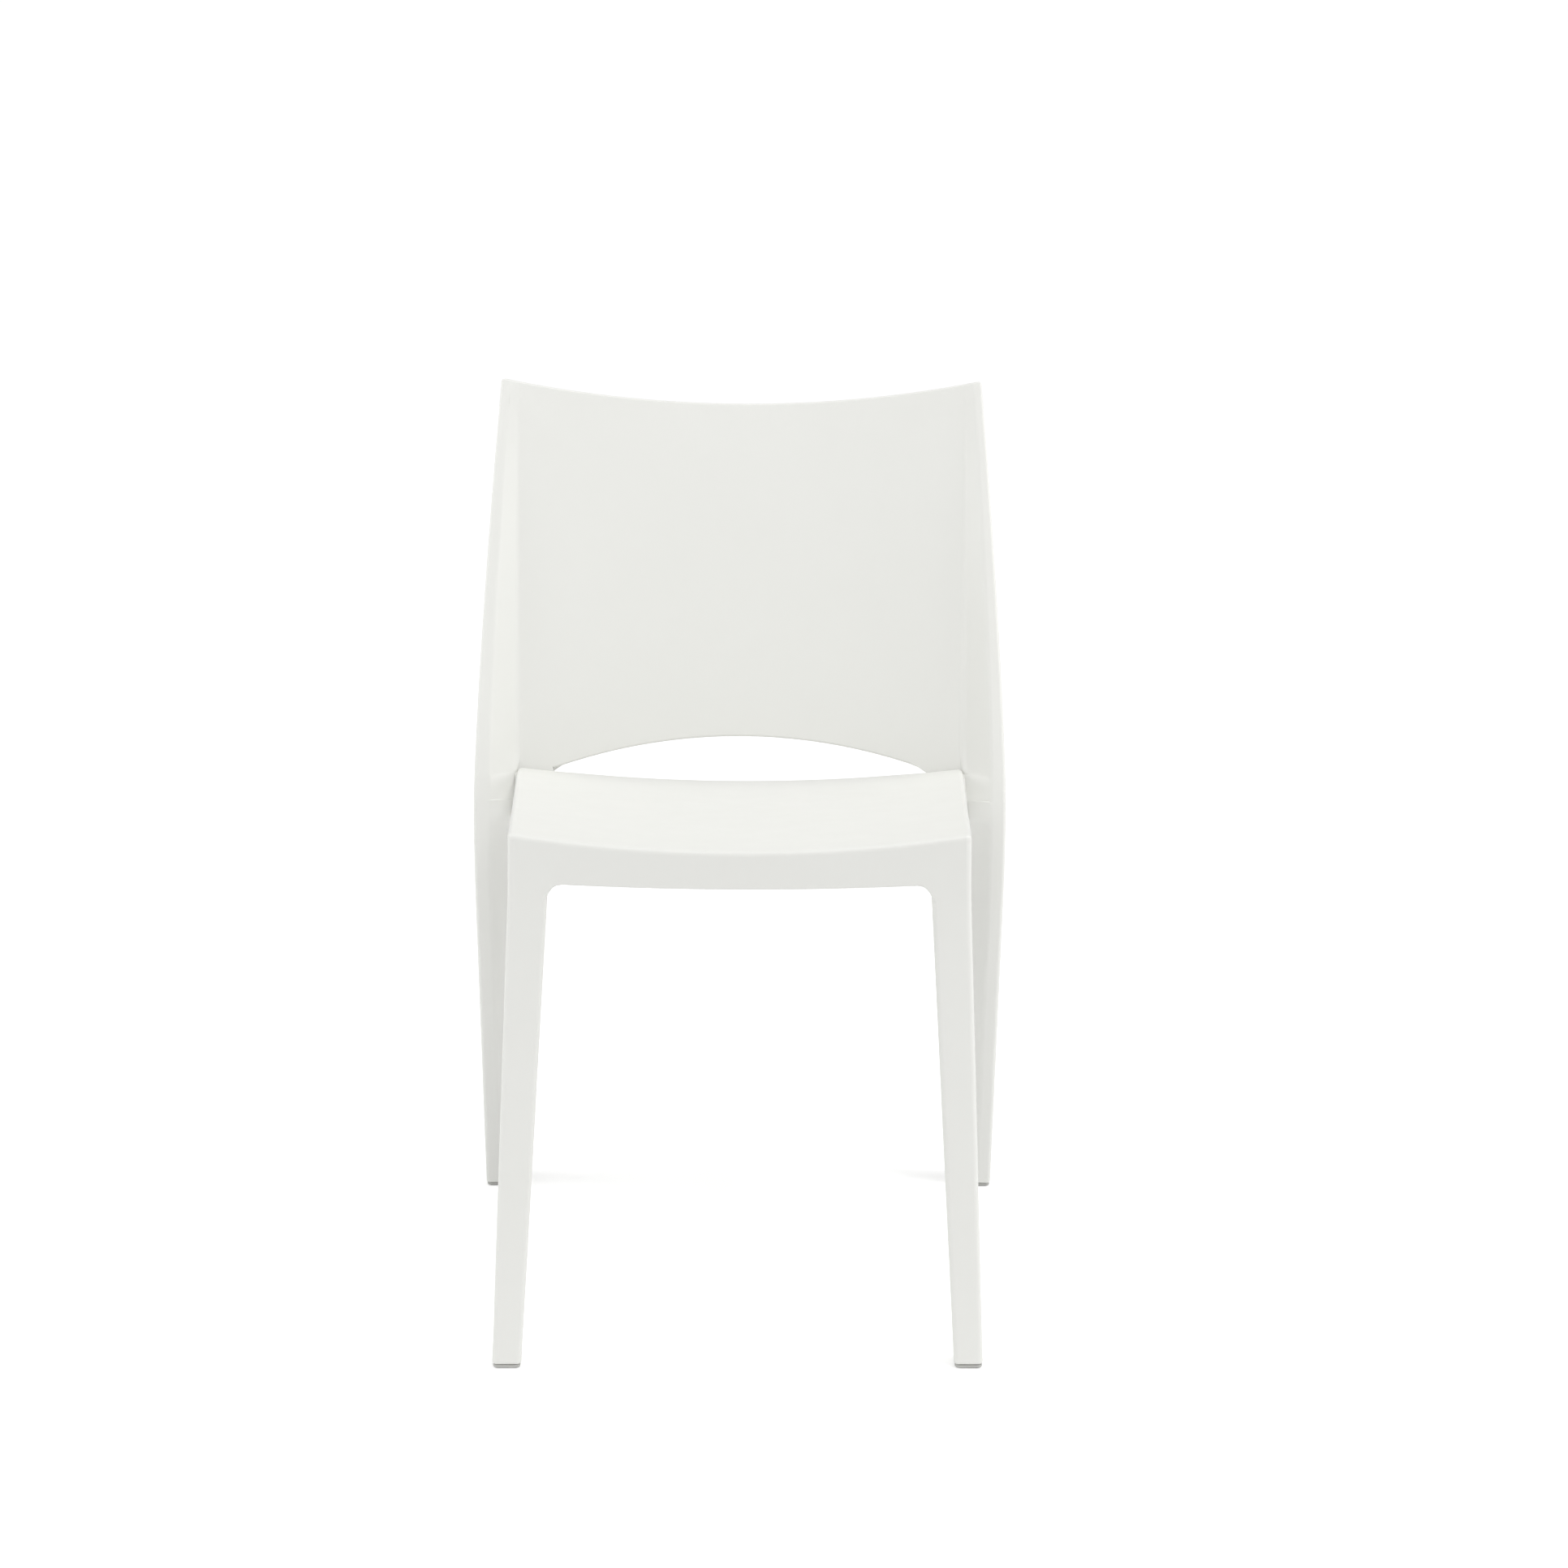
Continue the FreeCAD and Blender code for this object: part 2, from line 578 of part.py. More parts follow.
def apron_fillet(side):
    """The round between the apron's lower edge and the leg, on one side."""
    corners, radii = front_leg_section(SEAT_BOTTOM)
    x = corners[1][0]
    z = skirt_bottom(x, SEAT_FRONT_Y) + 1.0
    y = SEAT_FRONT_Y
    r = APRON_FILLET
    near = r * (1.0 - math.cos(math.pi / 4.0))
    into_leg = 4.0
    outline = [
        line((side * (x + into_leg), y, z), (side * (x - r), y, z)),
        arc((side * (x - r), y, z), (side * (x - near), y, z - near), (side * x, y, z - r)),
        line((side * x, y, z - r), (side * (x + into_leg), y, z - r)),
        line((side * (x + into_leg), y, z - r), (side * (x + into_leg), y, z)),
    ]
    return prism(outline, Vec(0, SKIRT_THICKNESS, 0))


def make_seat_frame():
    block = seat_block()
    shell = block.cut(seat_cavity())
    heights = levels(GLIDE_PAD_HEIGHT, SEAT_BOTTOM, 4) + [SEAT_HEIGHT + SEAT_EDGE_RADIUS]
    leg = section_loft(front_leg_section, heights)
    core_heights = levels(GLIDE_PAD_HEIGHT, FRONT_CORE_TOP, 4)
    leg = leg.cut(section_loft(front_leg_section, core_heights, FRONT_CORE_SHARE))
    slab = Part.makeBox(2 * ALL, 2 * ALL, ALL, Vec(-ALL, -ALL, SEAT_BOTTOM))
    solids = [shell, seat_ribs()]
    for solid in both_sides(leg):
        solids.append(solid.cut(slab))
        solids.append(solid.common(slab).common(block))
    for x, y in buffer_places():
        boss = cylinder(BUFFER_BOSS_RADIUS, buffer_top(x, y), SEAT_HEIGHT * 2, x, y).common(block)
        socket_top = buffer_top(x, y) + BUFFER_STEM_LENGTH + BUFFER_STEM_END_GAP
        socket = cylinder(BUFFER_STEM_RADIUS + BUFFER_STEM_GAP, 0.0, socket_top, x, y)
        solids.append(boss.cut([above(seat_top, SEAT_THICKNESS / 2.0), socket]))
    for x in SCREW_PLACES:
        boss = cylinder(BOSS_RADIUS, boss_bottom(x), SEAT_HEIGHT * 2, x, rail_middle(x))
        socket = cylinder(INSERT_RADIUS, 0.0, boss_bottom(x) + INSERT_LENGTH, x, rail_middle(x))
        solids.append(boss.cut([above(seat_top, SEAT_THICKNESS / 2.0), socket]))
    for side in SIDES.values():
        solids.append(apron_fillet(side))
    column = section_loft(column_section, COLUMN_LEVELS, COLUMN_CLEARANCE_SHARE)
    return fuse_all(solids).cut([seat_rear_cutter()] + both_sides(column))


# ---------------------------------------------------------------- small parts
def make_glide(section, core_share):
    """A pad under the foot, with a spigot that stands in the leg's core."""
    corners, radii = section(GLIDE_PAD_HEIGHT)
    sole = rounded_wire(corners, radii, 0.0, GLIDE_SOLE_SHARE)
    edge = rounded_wire(corners, radii, GLIDE_SOLE_RISE, GLIDE_PAD_SHARE)
    top = rounded_wire(corners, radii, GLIDE_PAD_HEIGHT, GLIDE_PAD_SHARE)
    pad = Part.makeLoft([sole, edge, top], True, True)
    heights = levels(GLIDE_PAD_HEIGHT, GLIDE_PAD_HEIGHT + GLIDE_SPIGOT_LENGTH, 3)
    spigot = section_loft(section, heights, core_share * GLIDE_SPIGOT_SHARE)
    return fuse_all([pad, spigot])


def make_buffer(x, y):
    top = buffer_top(x, y)
    flange = cylinder(BUFFER_RADIUS, top - BUFFER_HEIGHT, top, x, y)
    rim = [edge for edge in flange.Edges if edge.BoundBox.ZMax < top - BUFFER_HEIGHT + 0.1]
    flange = flange.makeFillet(BUFFER_PROUD * 0.75, rim)
    return fuse_all([flange, cylinder(BUFFER_STEM_RADIUS, top, top + BUFFER_STEM_LENGTH, x, y)])


def make_screw(x):
    """A pan head screw from below, with a hexagonal key hole."""
    y = rail_middle(x)
    under_head = counterbore_top(x) - WASHER_THICKNESS
    tip = boss_bottom(x) + SCREW_ENGAGEMENT
    head = cylinder(SCREW_HEAD_RADIUS, under_head - SCREW_HEAD_HEIGHT, under_head, x, y)
    key_radius = HEX_KEY_ACROSS / math.sqrt(3.0)
    key_bottom = under_head - SCREW_HEAD_HEIGHT
    turns = [i * math.pi / 3.0 for i in range(6)]
    key = [(x + key_radius * math.cos(a), y + key_radius * math.sin(a), key_bottom) for a in turns]
    head = head.cut(polygon_prism(key, Vec(0, 0, HEX_KEY_DEPTH)))
    return fuse_all([head, cylinder(SCREW_RADIUS - SCREW_THREAD_GAP, under_head, tip, x, y)])


def make_washer(x):
    top = counterbore_top(x)
    bottom = top - WASHER_THICKNESS
    disc = cylinder(WASHER_RADIUS, bottom, top, x, rail_middle(x))
    return disc.cut(cylinder(SCREW_RADIUS + SCREW_HOLE_GAP, bottom, top, x, rail_middle(x)))


def make_insert(x):
    bottom = boss_bottom(x)
    top = bottom + INSERT_LENGTH
    body = cylinder(INSERT_RADIUS, bottom, top, x, rail_middle(x))
    return body.cut(cylinder(SCREW_RADIUS, bottom, top, x, rail_middle(x)))


def make_cap(x):
    """A cap that closes the counterbore, with a thin ring that grips its wall."""
    bottom = counterbore_top(x) - COUNTERBORE_DEPTH + 1.0
    top = bottom + CAP_THICKNESS
    radius = COUNTERBORE_RADIUS - CAP_GAP
    body = cylinder(radius, bottom, top + CAP_PLUG_HEIGHT, x, rail_middle(x))
    return body.cut(cylinder(radius - CAP_WALL, top, top + CAP_PLUG_HEIGHT, x, rail_middle(x)))


def save(solid, name):
    solid.exportStep("parts/" + name + ".step")
    print(name, "solids", len(solid.Solids), "valid", solid.isValid(), "cm3", round(solid.Volume / 1000.0, 2))


def main():
    os.makedirs("parts", exist_ok=True)
    save(make_back_frame(), "back_frame")
    save(make_seat_frame(), "seat_frame")
    front_glide = make_glide(front_leg_section, FRONT_CORE_SHARE)
    rear_glide = make_glide(column_section, REAR_CORE_SHARE)
    for end, glide in (("front", front_glide), ("rear", rear_glide)):
        for side, solid in zip(SIDES, both_sides(glide)):
            save(solid, end + "_" + side + "_glide")
    for index, (x, y) in enumerate(buffer_places()):
        side = list(SIDES)[index // 2]
        end = ("front", "rear")[index % 2]
        save(make_buffer(x, y), end + "_" + side + "_stacking_buffer")
    save(group([make_screw(x) for x in SCREW_PLACES]), "seat_screws")
    save(group([make_washer(x) for x in SCREW_PLACES]), "screw_washers")
    save(group([make_insert(x) for x in SCREW_PLACES]), "threaded_inserts")
    save(group([make_cap(x) for x in SCREW_PLACES]), "screw_caps")


main()
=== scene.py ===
"""Looks of the stacking chair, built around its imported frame.

The two mouldings, the back frame and the seat frame, are modelled here as whole cells: a grid is cut and
extruded one step at a time, its points are set on the chair's own curves, and its edges are rounded. The
small parts keep their frame nodes and get finishes of their own. All sizes are in metres.
"""

import logging
import math
from dataclasses import dataclass
from enum import Enum
from typing import Callable

import bpy
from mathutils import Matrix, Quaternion, Vector


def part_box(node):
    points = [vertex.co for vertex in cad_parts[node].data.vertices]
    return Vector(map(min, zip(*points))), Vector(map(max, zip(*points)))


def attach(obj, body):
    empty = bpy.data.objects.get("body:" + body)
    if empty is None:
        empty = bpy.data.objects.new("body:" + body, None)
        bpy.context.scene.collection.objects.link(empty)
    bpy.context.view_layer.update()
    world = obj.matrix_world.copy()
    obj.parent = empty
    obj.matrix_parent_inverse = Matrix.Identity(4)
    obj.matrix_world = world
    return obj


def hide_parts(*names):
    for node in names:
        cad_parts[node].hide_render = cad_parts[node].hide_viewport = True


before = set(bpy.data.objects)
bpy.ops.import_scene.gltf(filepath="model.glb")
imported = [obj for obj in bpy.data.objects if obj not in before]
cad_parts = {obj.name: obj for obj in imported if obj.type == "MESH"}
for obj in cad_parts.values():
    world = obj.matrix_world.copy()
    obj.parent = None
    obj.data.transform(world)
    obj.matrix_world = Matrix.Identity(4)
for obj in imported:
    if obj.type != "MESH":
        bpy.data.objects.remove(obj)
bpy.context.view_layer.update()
LOG = logging.getLogger("chair")
Index = tuple[int, int, int]


def mix(a: float, b: float, t: float) -> float:
    """Returns the value a share t of the way from a to b."""
    return a + (b - a) * t


def smooth_share(value: float, low: float, high: float) -> float:
    """Returns 0 below low, 1 above high, and a smooth turn between them."""
    t = min(1.0, max(0.0, (value - low) / (high - low)))
    return t * t * (3.0 - 2.0 * t)


def smooth_max(a: float, b: float, blend: float) -> float:
    """Returns the larger value, with the corner between the two rounded over."""
    return (a + b) / 2.0 + math.hypot((a - b) / 2.0, blend)


def round_drop(distance: float, radius: float) -> float:
    """Returns how far a fillet of this radius stands out, this far from its wall."""
    inside = min(radius, max(0.0, radius - distance))
    return radius - math.sqrt(radius**2 - inside**2)


@dataclass
class ChairLines:
    """The curves that both mouldings follow, from the overall sizes of the frame's nodes."""

    height: float
    half_width: float
    front_y: float
    rear_y: float
    seat_height: float = 0.455
    knee_height: float = 0.330
    top_close_in: float = 0.0235
    close_in_power: float = 1.55
    panel_half_width: float = 0.217
    panel_root_top: float = 0.232
    panel_slope: float = 0.20
    panel_hollow: float = 0.024
    panel_thickness: float = 0.006
    seat_front_half: float = 0.190
    seat_rear_half: float = 0.216
    seat_setback: float = 0.017
    leg_front_foot: float = 0.217
    leg_front_slope: float = 0.2325
    back_front_top: float = 0.228
    back_front_slope: float = 0.285
    front_blend: float = 0.008
    leg_rear_slope: float = 0.215
    back_rear_top: float = 0.238
    back_rear_slope: float = 0.215
    rear_blend: float = 0.012
    rail_proud: float = 0.004
    rail_depth: float = 0.032
    dish_front: float = 0.015
    dish_rear: float = 0.0165
    seat_fall: float = 0.0115
    skirt_height: float = 0.041

    @classmethod
    def from_frame(cls) -> "ChairLines":
        """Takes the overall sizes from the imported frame.

        Returns:
            The lines at those sizes.
        """
        back_low, back_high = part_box("back_frame")
        seat_low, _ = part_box("seat_frame")
        return cls(back_high.z, back_high.x, seat_low.y, back_high.y)

    def column_half_width(self, z: float) -> float:
        """Returns how far out a side column stands at height z."""
        above = max(0.0, (z - self.knee_height) / (self.height - self.knee_height))
        return self.half_width - self.top_close_in * above**self.close_in_power

    def column_front(self, z: float) -> float:
        """Joins the front lines of the leg and of the back.

        Args:
            z: A height.

        Returns:
            The place along Y of a side column's front at that height.
        """
        leg = self.leg_front_foot - self.leg_front_slope * z
        back = self.back_front_top - self.back_front_slope * (self.height - z)
        return smooth_max(leg, back, self.front_blend)

    def column_rear(self, z: float) -> float:
        """Joins the rear lines of the leg and of the back.

        Args:
            z: A height.

        Returns:
            The place along Y of a side column's rear at that height.
        """
        leg = self.rear_y - self.leg_rear_slope * z
        back = self.back_rear_top - self.back_rear_slope * (self.height - z)
        return smooth_max(leg, back, self.rear_blend)

    def panel_front(self, x: float, z: float) -> float:
        """Follows the back panel's front face, a round hollow that leans back.

        Args:
            x: A place across the chair.
            z: A height.

        Returns:
            The face's place along Y.
        """
        radius = (self.panel_half_width**2 + self.panel_hollow**2) / (2.0 * self.panel_hollow)
        root = self.panel_root_top - self.panel_slope * (self.height - z)
        return root + self.panel_hollow - radius + math.sqrt(radius**2 - x**2)

    @property
    def seat_front_y(self) -> float:
        """The seat's front edge."""
        return self.front_y + self.seat_setback

    @property
    def seat_bottom(self) -> float:
        """The skirt's lower edge at the seat's front corners."""
        return self.seat_height - self.skirt_height

    def seat_share(self, y: float) -> float:
        """Returns 0 at the seat's front edge and 1 at the panel."""
        rear = self.panel_front(self.seat_rear_half, self.seat_height)
        return (y - self.seat_front_y) / (rear - self.seat_front_y)

    def seat_half_width(self, y: float) -> float:
        """Returns the seat's half width at y."""
        return mix(self.seat_front_half, self.seat_rear_half, self.seat_share(y))

    def seat_top(self, x: float, y: float) -> float:
        """Follows the seat's top, a dish across the chair that falls towards the back.

        Args:
            x: A place across the chair.
            y: A place along the chair.

        Returns:
            The top's height.
        """
        front = self.seat_height - self.dish_front * (1.0 - (x / self.seat_front_half) ** 2)
        rear = self.seat_height - self.seat_fall - self.dish_rear * (1.0 - (x / self.seat_rear_half) ** 2)
        return mix(front, rear, self.seat_share(y))

    def rail_rear(self, x: float) -> float:
        """Returns the cross rail's rear face."""
        return self.panel_front(x, self.seat_bottom) + self.panel_thickness + self.rail_proud

    def rail_front(self, x: float) -> float:
        """Returns the cross rail's front face."""
        return self.rail_rear(x) - self.rail_depth

    def rail_middle(self, x: float) -> float:
        """Returns the middle of the cross rail."""
        return self.rail_rear(x) - self.rail_depth / 2.0


def round_bar(
    radius: float, low: float, high: float, x: float, y: float, ease: float = 0.0
) -> bpy.types.Object:
    """Makes an upright round bar, as a boss or as the tool for a hole.

    Args:
        radius: Its radius.
        low: Its lower end.
        high: Its upper end.
        x: Its place across the chair.
        y: Its place along the chair.
        ease: The round on its lower rim.

    Returns:
        The bar.
    """
    bpy.ops.object.select_all(action="DESELECT")
    middle = (x, y, (low + high) / 2.0)
    bpy.ops.mesh.primitive_cylinder_add(vertices=56, radius=radius, depth=high - low, location=middle)
    bar = bpy.context.active_object
    bpy.ops.object.transform_apply(location=True)
    if ease:
        bpy.ops.object.mode_set(mode="EDIT")
        bpy.ops.mesh.select_all(action="DESELECT")
        bpy.ops.object.mode_set(mode="OBJECT")
        for edge in bar.data.edges:
            edge.select = all(bar.data.vertices[v].co.z < low + 1e-5 for v in edge.vertices)
        bpy.ops.object.mode_set(mode="EDIT")
        bpy.ops.mesh.select_mode(type="EDGE")
        bpy.ops.mesh.bevel(offset=ease, segments=3, affect="EDGES")
        bpy.ops.object.mode_set(mode="OBJECT")
    return bar


class CellSolid:
    """A closed solid modelled as whole cells: one unit a cell, until its points are placed."""

    edge_angle: float = 14.0
    shade_angle: float = 40.0
    broad_face_weight: int = 80

    def __init__(self, name: str, columns: int, rows: int) -> None:
        """Starts a flat grid of cells.

        Args:
            name: The piece's name.
            columns: How many cells it has along X.
            rows: How many cells it has along Y.
        """
        bpy.ops.object.select_all(action="DESELECT")
        bpy.ops.mesh.primitive_grid_add(x_subdivisions=columns, y_subdivisions=rows, size=1.0)
        self.piece = bpy.context.active_object
        self.piece.name = name
        self.piece.data.name = name
        bpy.ops.object.mode_set(mode="EDIT")
        bpy.ops.mesh.select_mode(type="FACE")
        bpy.ops.transform.resize(value=(columns, rows, 1.0))
        bpy.ops.transform.translate(value=(columns / 2.0, rows / 2.0, 0.0))
        self.indices: list[Index] = []

    def select(self, wanted: Callable[[Vector], bool]) -> None:
        """Selects the faces whose middle passes a test.

        Args:
            wanted: Says of a face's middle, in cells, whether to take it.
        """
        bpy.ops.mesh.select_all(action="DESELECT")
        bpy.ops.object.mode_set(mode="OBJECT")
        for face in self.piece.data.polygons:
            face.select = wanted(face.center)
        bpy.ops.object.mode_set(mode="EDIT")

    def cut(self, unwanted: Callable[[Vector], bool]) -> None:
        """Takes away the cells whose middle passes a test."""
        self.select(unwanted)
        bpy.ops.mesh.delete(type="FACE")

    def thicken(self) -> None:
        """Gives the flat grid its first layer, so that it is closed."""
        bpy.ops.mesh.select_all(action="SELECT")
        bpy.ops.mesh.extrude_region_move(TRANSFORM_OT_translate={"value": (0.0, 0.0, -1.0)})

    def deepen(self, layer: int, wanted: Callable[[float, float], bool]) -> None:
        """Extrudes cells on the underside by one more layer.

        Args:
            layer: How many layers deep the cells are already.
            wanted: Says of a cell's middle, in cells, whether it goes deeper.
        """
        self.select(lambda c: abs(c.z + layer) < 0.1 and wanted(c.x, c.y))
        bpy.ops.mesh.extrude_region_move(TRANSFORM_OT_translate={"value": (0.0, 0.0, -1.0)})

    def place(self, where: Callable[[int, int, int], Vector]) -> None:
        """Moves every point from its cell to its place on the chair.

        Args:
            where: Gives the place of a point from its column, row and layer.
        """
        bpy.ops.object.mode_set(mode="OBJECT")
        mesh = self.piece.data
        self.indices = [(round(v.co.x), round(v.co.y), round(-v.co.z)) for v in mesh.vertices]
        for vertex, index in zip(mesh.vertices, self.indices):
            vertex.co = where(*index)
        mesh.update()
        bpy.ops.object.mode_set(mode="EDIT")
        bpy.ops.mesh.select_all(action="SELECT")
        bpy.ops.mesh.normals_make_consistent(inside=False)
        bpy.ops.object.mode_set(mode="OBJECT")

    def round_edges(self, radius: Callable[[Index, Index], float], largest: float, segments: int) -> None:
        """Rounds the solid's sharp edges, each by its own radius.

        Args:
            radius: Gives an edge's radius from the indices of its two ends, in order.
            largest: The largest radius that it gives.
            segments: How many faces go round an edge.
        """
        mesh = self.piece.data
        normals: dict[int, list[Vector]] = {}
        edge_of = {tuple(sorted(e.vertices)): e.index for e in mesh.edges}
        for face in mesh.polygons:
            for key in face.edge_keys:
                normals.setdefault(edge_of[tuple(sorted(key))], []).append(face.normal)
        weights = mesh.attributes.new("bevel_weight_edge", "FLOAT", "EDGE")
        for edge in mesh.edges:
            sides = normals[edge.index]
            if len(sides) == 2 and sides[0].angle(sides[1], 0.0) > math.radians(self.edge_angle):
                ends = sorted(self.indices[v] for v in edge.vertices)
                weights.data[edge.index].value = min(1.0, radius(ends[0], ends[1]) / largest)
        bevel = self.piece.modifiers.new("edges", "BEVEL")
        bevel.limit_method = "WEIGHT"
        bevel.width = largest
        bevel.segments = segments
        bevel.use_clamp_overlap = False
        bevel.loop_slide = True
        bevel.miter_outer = "MITER_SHARP"
        bpy.ops.object.modifier_apply(modifier=bevel.name)

    def combine(self, tool: bpy.types.Object, operation: str) -> None:
        """Cuts a tool away from the solid or joins it on, and removes the tool.

        Args:
            tool: A closed solid.
            operation: DIFFERENCE or UNION.
        """
        step = self.piece.modifiers.new("step", "BOOLEAN")
        step.operation = operation
        step.solver = "EXACT"
        step.object = tool
        bpy.ops.object.select_all(action="DESELECT")
        bpy.context.view_layer.objects.active = self.piece
        self.piece.select_set(True)
        bpy.ops.object.modifier_apply(modifier=step.name)
        bpy.data.objects.remove(tool)

    def smooth(self) -> None:
        """Shades the solid smooth, with broad faces flat."""
        bpy.ops.object.shade_smooth_by_angle(angle=math.radians(self.shade_angle))
        weighted = self.piece.modifiers.new("normals", "WEIGHTED_NORMAL")
        weighted.keep_sharp = True
        weighted.weight = self.broad_face_weight
        bpy.ops.object.modifier_apply(modifier=weighted.name)


@dataclass
class Moulding:
    """A moulding of the shell, which stands in place of one node of the frame."""

    lines: ChairLines

    def dress(self, piece: bpy.types.Object, node: str, shell: bpy.types.Material) -> None:
        """Gives the moulding its finish and its place in the chair.

        Args:
            piece: The moulding's finished mesh.
            node: The node of the frame that it replaces.
            shell: The shell's material.
        """
        piece.data.materials.append(shell)
        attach(piece, "root")
        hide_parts(node)


@dataclass(frozen=True)
class SeatScrews:
    """The four screws that hold the seat on the rail, and the holes that they need."""

    places: tuple[float, ...] = (-0.150, -0.060, 0.060, 0.150)
    counterbore_radius: float = 0.0068
    counterbore_depth: float = 0.0095
    hole_radius: float = 0.0033
    boss_height: float = 0.012
    drill_reach: float = 0.02
    drill_overlap: float = 0.001


@dataclass(frozen=True)
class BackRadii:
    """The radii of the back frame's edges."""

    outer_front: tuple[float, float] = (0.005, 0.003)
    outer_rear: tuple[float, float] = (0.008, 0.0035)
    rim: tuple[float, float] = (0.0035, 0.002)
    leg_inner: float = 0.006
    crease: float = 0.004
    rail_corner: float = 0.0012
    foot: float = 0.003
    top_corner: float = 0.004
    top_edge: float = 0.0016
    opening_corner: float = 0.0030
    opening_edge: float = 0.0024
    rail_low: float = 0.004
    rail_top: float = 0.002


@dataclass
class BackFrame(Moulding):
    """The back panel, its two side columns with the rear legs, and the cross rail, as one moulding."""

    screws: SeatScrews = SeatScrews()
    radii: BackRadii = BackRadii()
    foot_z: float = 0.003
    rim_low: float = 0.015
    rim_top: float = 0.008
    leg_width_foot: float = 0.030
    leg_width_knee: float = 0.034
    bevel_depth: float = 0.026
    web_depth: float = 0.010
    web_full_low: float = 0.405
    web_full_high: float = 0.418
    join_low: float = 0.372
    join_high: float = 0.452
    leg_rows_end: float = 0.012
    rail_end: float = 0.2155
    rail_drop: float = 0.0053
    rail_gap: float = 0.0003
    rail_height: float = 0.030
    opening_half: float = 0.181
    opening_top: float = 0.4695
    opening_rise: float = 0.0285
    top_dip: float = 0.024
    seam_height: float = 0.413
    seam_step: float = 0.0011
    seam_fade: float = 0.060
    haunch: float = 0.020
    rim_set_back: float = 0.001
    side_tuck: float = 0.002
    crease_fade_low: float = 0.70
    crease_fade_high: float = 0.77
    largest_radius: float = 0.008
    share_of_strip: float = 0.9
    leg_rows: int = 16
    panel_rows: int = 30
    slant_shares: tuple[float, ...] = (0.0, 0.12, 0.5, 0.88, 1.0)
    rear_shares: tuple[float, ...] = (0.0, 0.30, 0.42, 0.60, 0.75, 1.0)
    opening_columns: int = 11
    rail_shares: tuple[float, ...] = (0.0, 0.205, 0.235, 0.265, 0.62, 1.0)

    def __post_init__(self) -> None:
        """Works out the cells: which column and row stands for what."""
        self.root = len(self.slant_shares)
        self.rail_corner = self.root + 1
        self.shoulder = (0.206, 0.194)
        self.opening_start = self.rail_corner + 1 + len(self.shoulder)
        self.middle = self.opening_start + self.opening_columns
        self.rail_low_row = self.leg_rows + 2
        self.rail_top_row = self.rail_low_row + len(self.rail_shares) - 1
        self.arch_row = self.rail_top_row + 2
        self.top_row = self.arch_row + self.panel_rows

    def column_x(self, i: int) -> float:
        """Places the panel's columns of points, from the rail's corner to the middle.

        Args:
            i: A column of points.

        Returns:
            Its place across the chair.
        """
        fixed = (self.rail_end, *self.shoulder, self.opening_half)
        step = i - self.rail_corner
        if step < len(fixed):
            return fixed[step]
        return self.opening_half * (self.middle - i) / self.opening_columns

    def rail_top(self, x: float) -> float:
        """Returns the height of the cross rail's top."""
        lines = self.lines
        return lines.seat_top(x, lines.rail_middle(x)) - self.rail_drop

    def row_z(self, j: int, x: float) -> float:
        """Places the rows of points: the leg, the rail, the opening and the panel.

        Args:
            j: A row of points.
            x: A place across the chair.

        Returns:
            The row's height there.
        """
        inner = min(abs(x), self.rail_end)
        rail_top = self.rail_top(inner)
        haunch = round_drop(self.lines.panel_half_width - inner, self.haunch)
        rail_low = rail_top - self.rail_height - haunch
        start = self.join_low - self.leg_rows_end
        if j <= self.leg_rows:
            return mix(self.foot_z, start, j / self.leg_rows)
        if j <= self.rail_low_row:
            return mix(start, rail_low, (j - self.leg_rows) / (self.rail_low_row - self.leg_rows))
        if j <= self.rail_top_row:
            seam_line = self.rail_top(self.rail_end) - self.rail_height
            low = mix(rail_low, seam_line, 1.0 if abs(x) > self.rail_end else 0.0)
            share = self.rail_shares[j - self.rail_low_row]
            return mix(low if share else rail_low, rail_top, share)
        if j < self.arch_row:
            return rail_top + self.rail_gap
        radius = (self.opening_half**2 + self.opening_rise**2) / (2.0 * self.opening_rise)
        arch = self.opening_top - radius + math.sqrt(radius**2 - min(abs(x), self.opening_half) ** 2)
        top_half = self.lines.column_half_width(self.lines.height)
        top_radius = (top_half**2 + self.top_dip**2) / (2.0 * self.top_dip)
        reach = min(abs(x), top_half)
        top = self.lines.height - self.top_dip + top_radius - math.sqrt(top_radius**2 - reach**2)
        return mix(arch, top, (j - self.arch_row) / self.panel_rows)

    def column_point(self, i: int, rear: bool, z: float) -> tuple[float, float]:
        """Places a point of the left column's section.

        Args:
            i: The column of points, from 0 at the outside to the root.
            rear: Whether the point is on the rear face.
            z: Its height.

        Returns:
            Its x and y.
        """
        lines = self.lines
        half = lines.column_half_width(z)
        front = lines.column_front(z)
        back = lines.column_rear(z)
        turned = smooth_share(z, self.join_low, self.join_high)
        up = min(1.0, max(0.0, (z - self.join_low) / (lines.height - self.join_low)))
        rim = mix(self.rim_low, self.rim_top, up)
        leg_width = mix(self.leg_width_foot, self.leg_width_knee, min(1.0, z / self.join_low))
        root = lines.panel_half_width
        inner_x = mix(half - leg_width, root, turned)
        if rear:
            inner_y = mix(back, lines.panel_front(root, z) + lines.panel_thickness, turned)
            share = self.rear_shares[i]
            outer_x = half - self.side_tuck
            return mix(outer_x, inner_x, share), mix(back, inner_y, smooth_share(share, 0.0, 1.0))
        inner_y = mix(front + self.bevel_depth, lines.panel_front(root, z), turned)
        filled = smooth_share(z, self.join_low, self.web_full_low)
        filled *= 1.0 - smooth_share(z, self.web_full_high, self.join_high)
        inner_y = mix(inner_y, front + self.web_depth, filled)
        if i == 0:
            return half, front
        share = self.slant_shares[i - 1]
        return mix(half - rim, inner_x, share), mix(front + self.rim_set_back, inner_y, share)

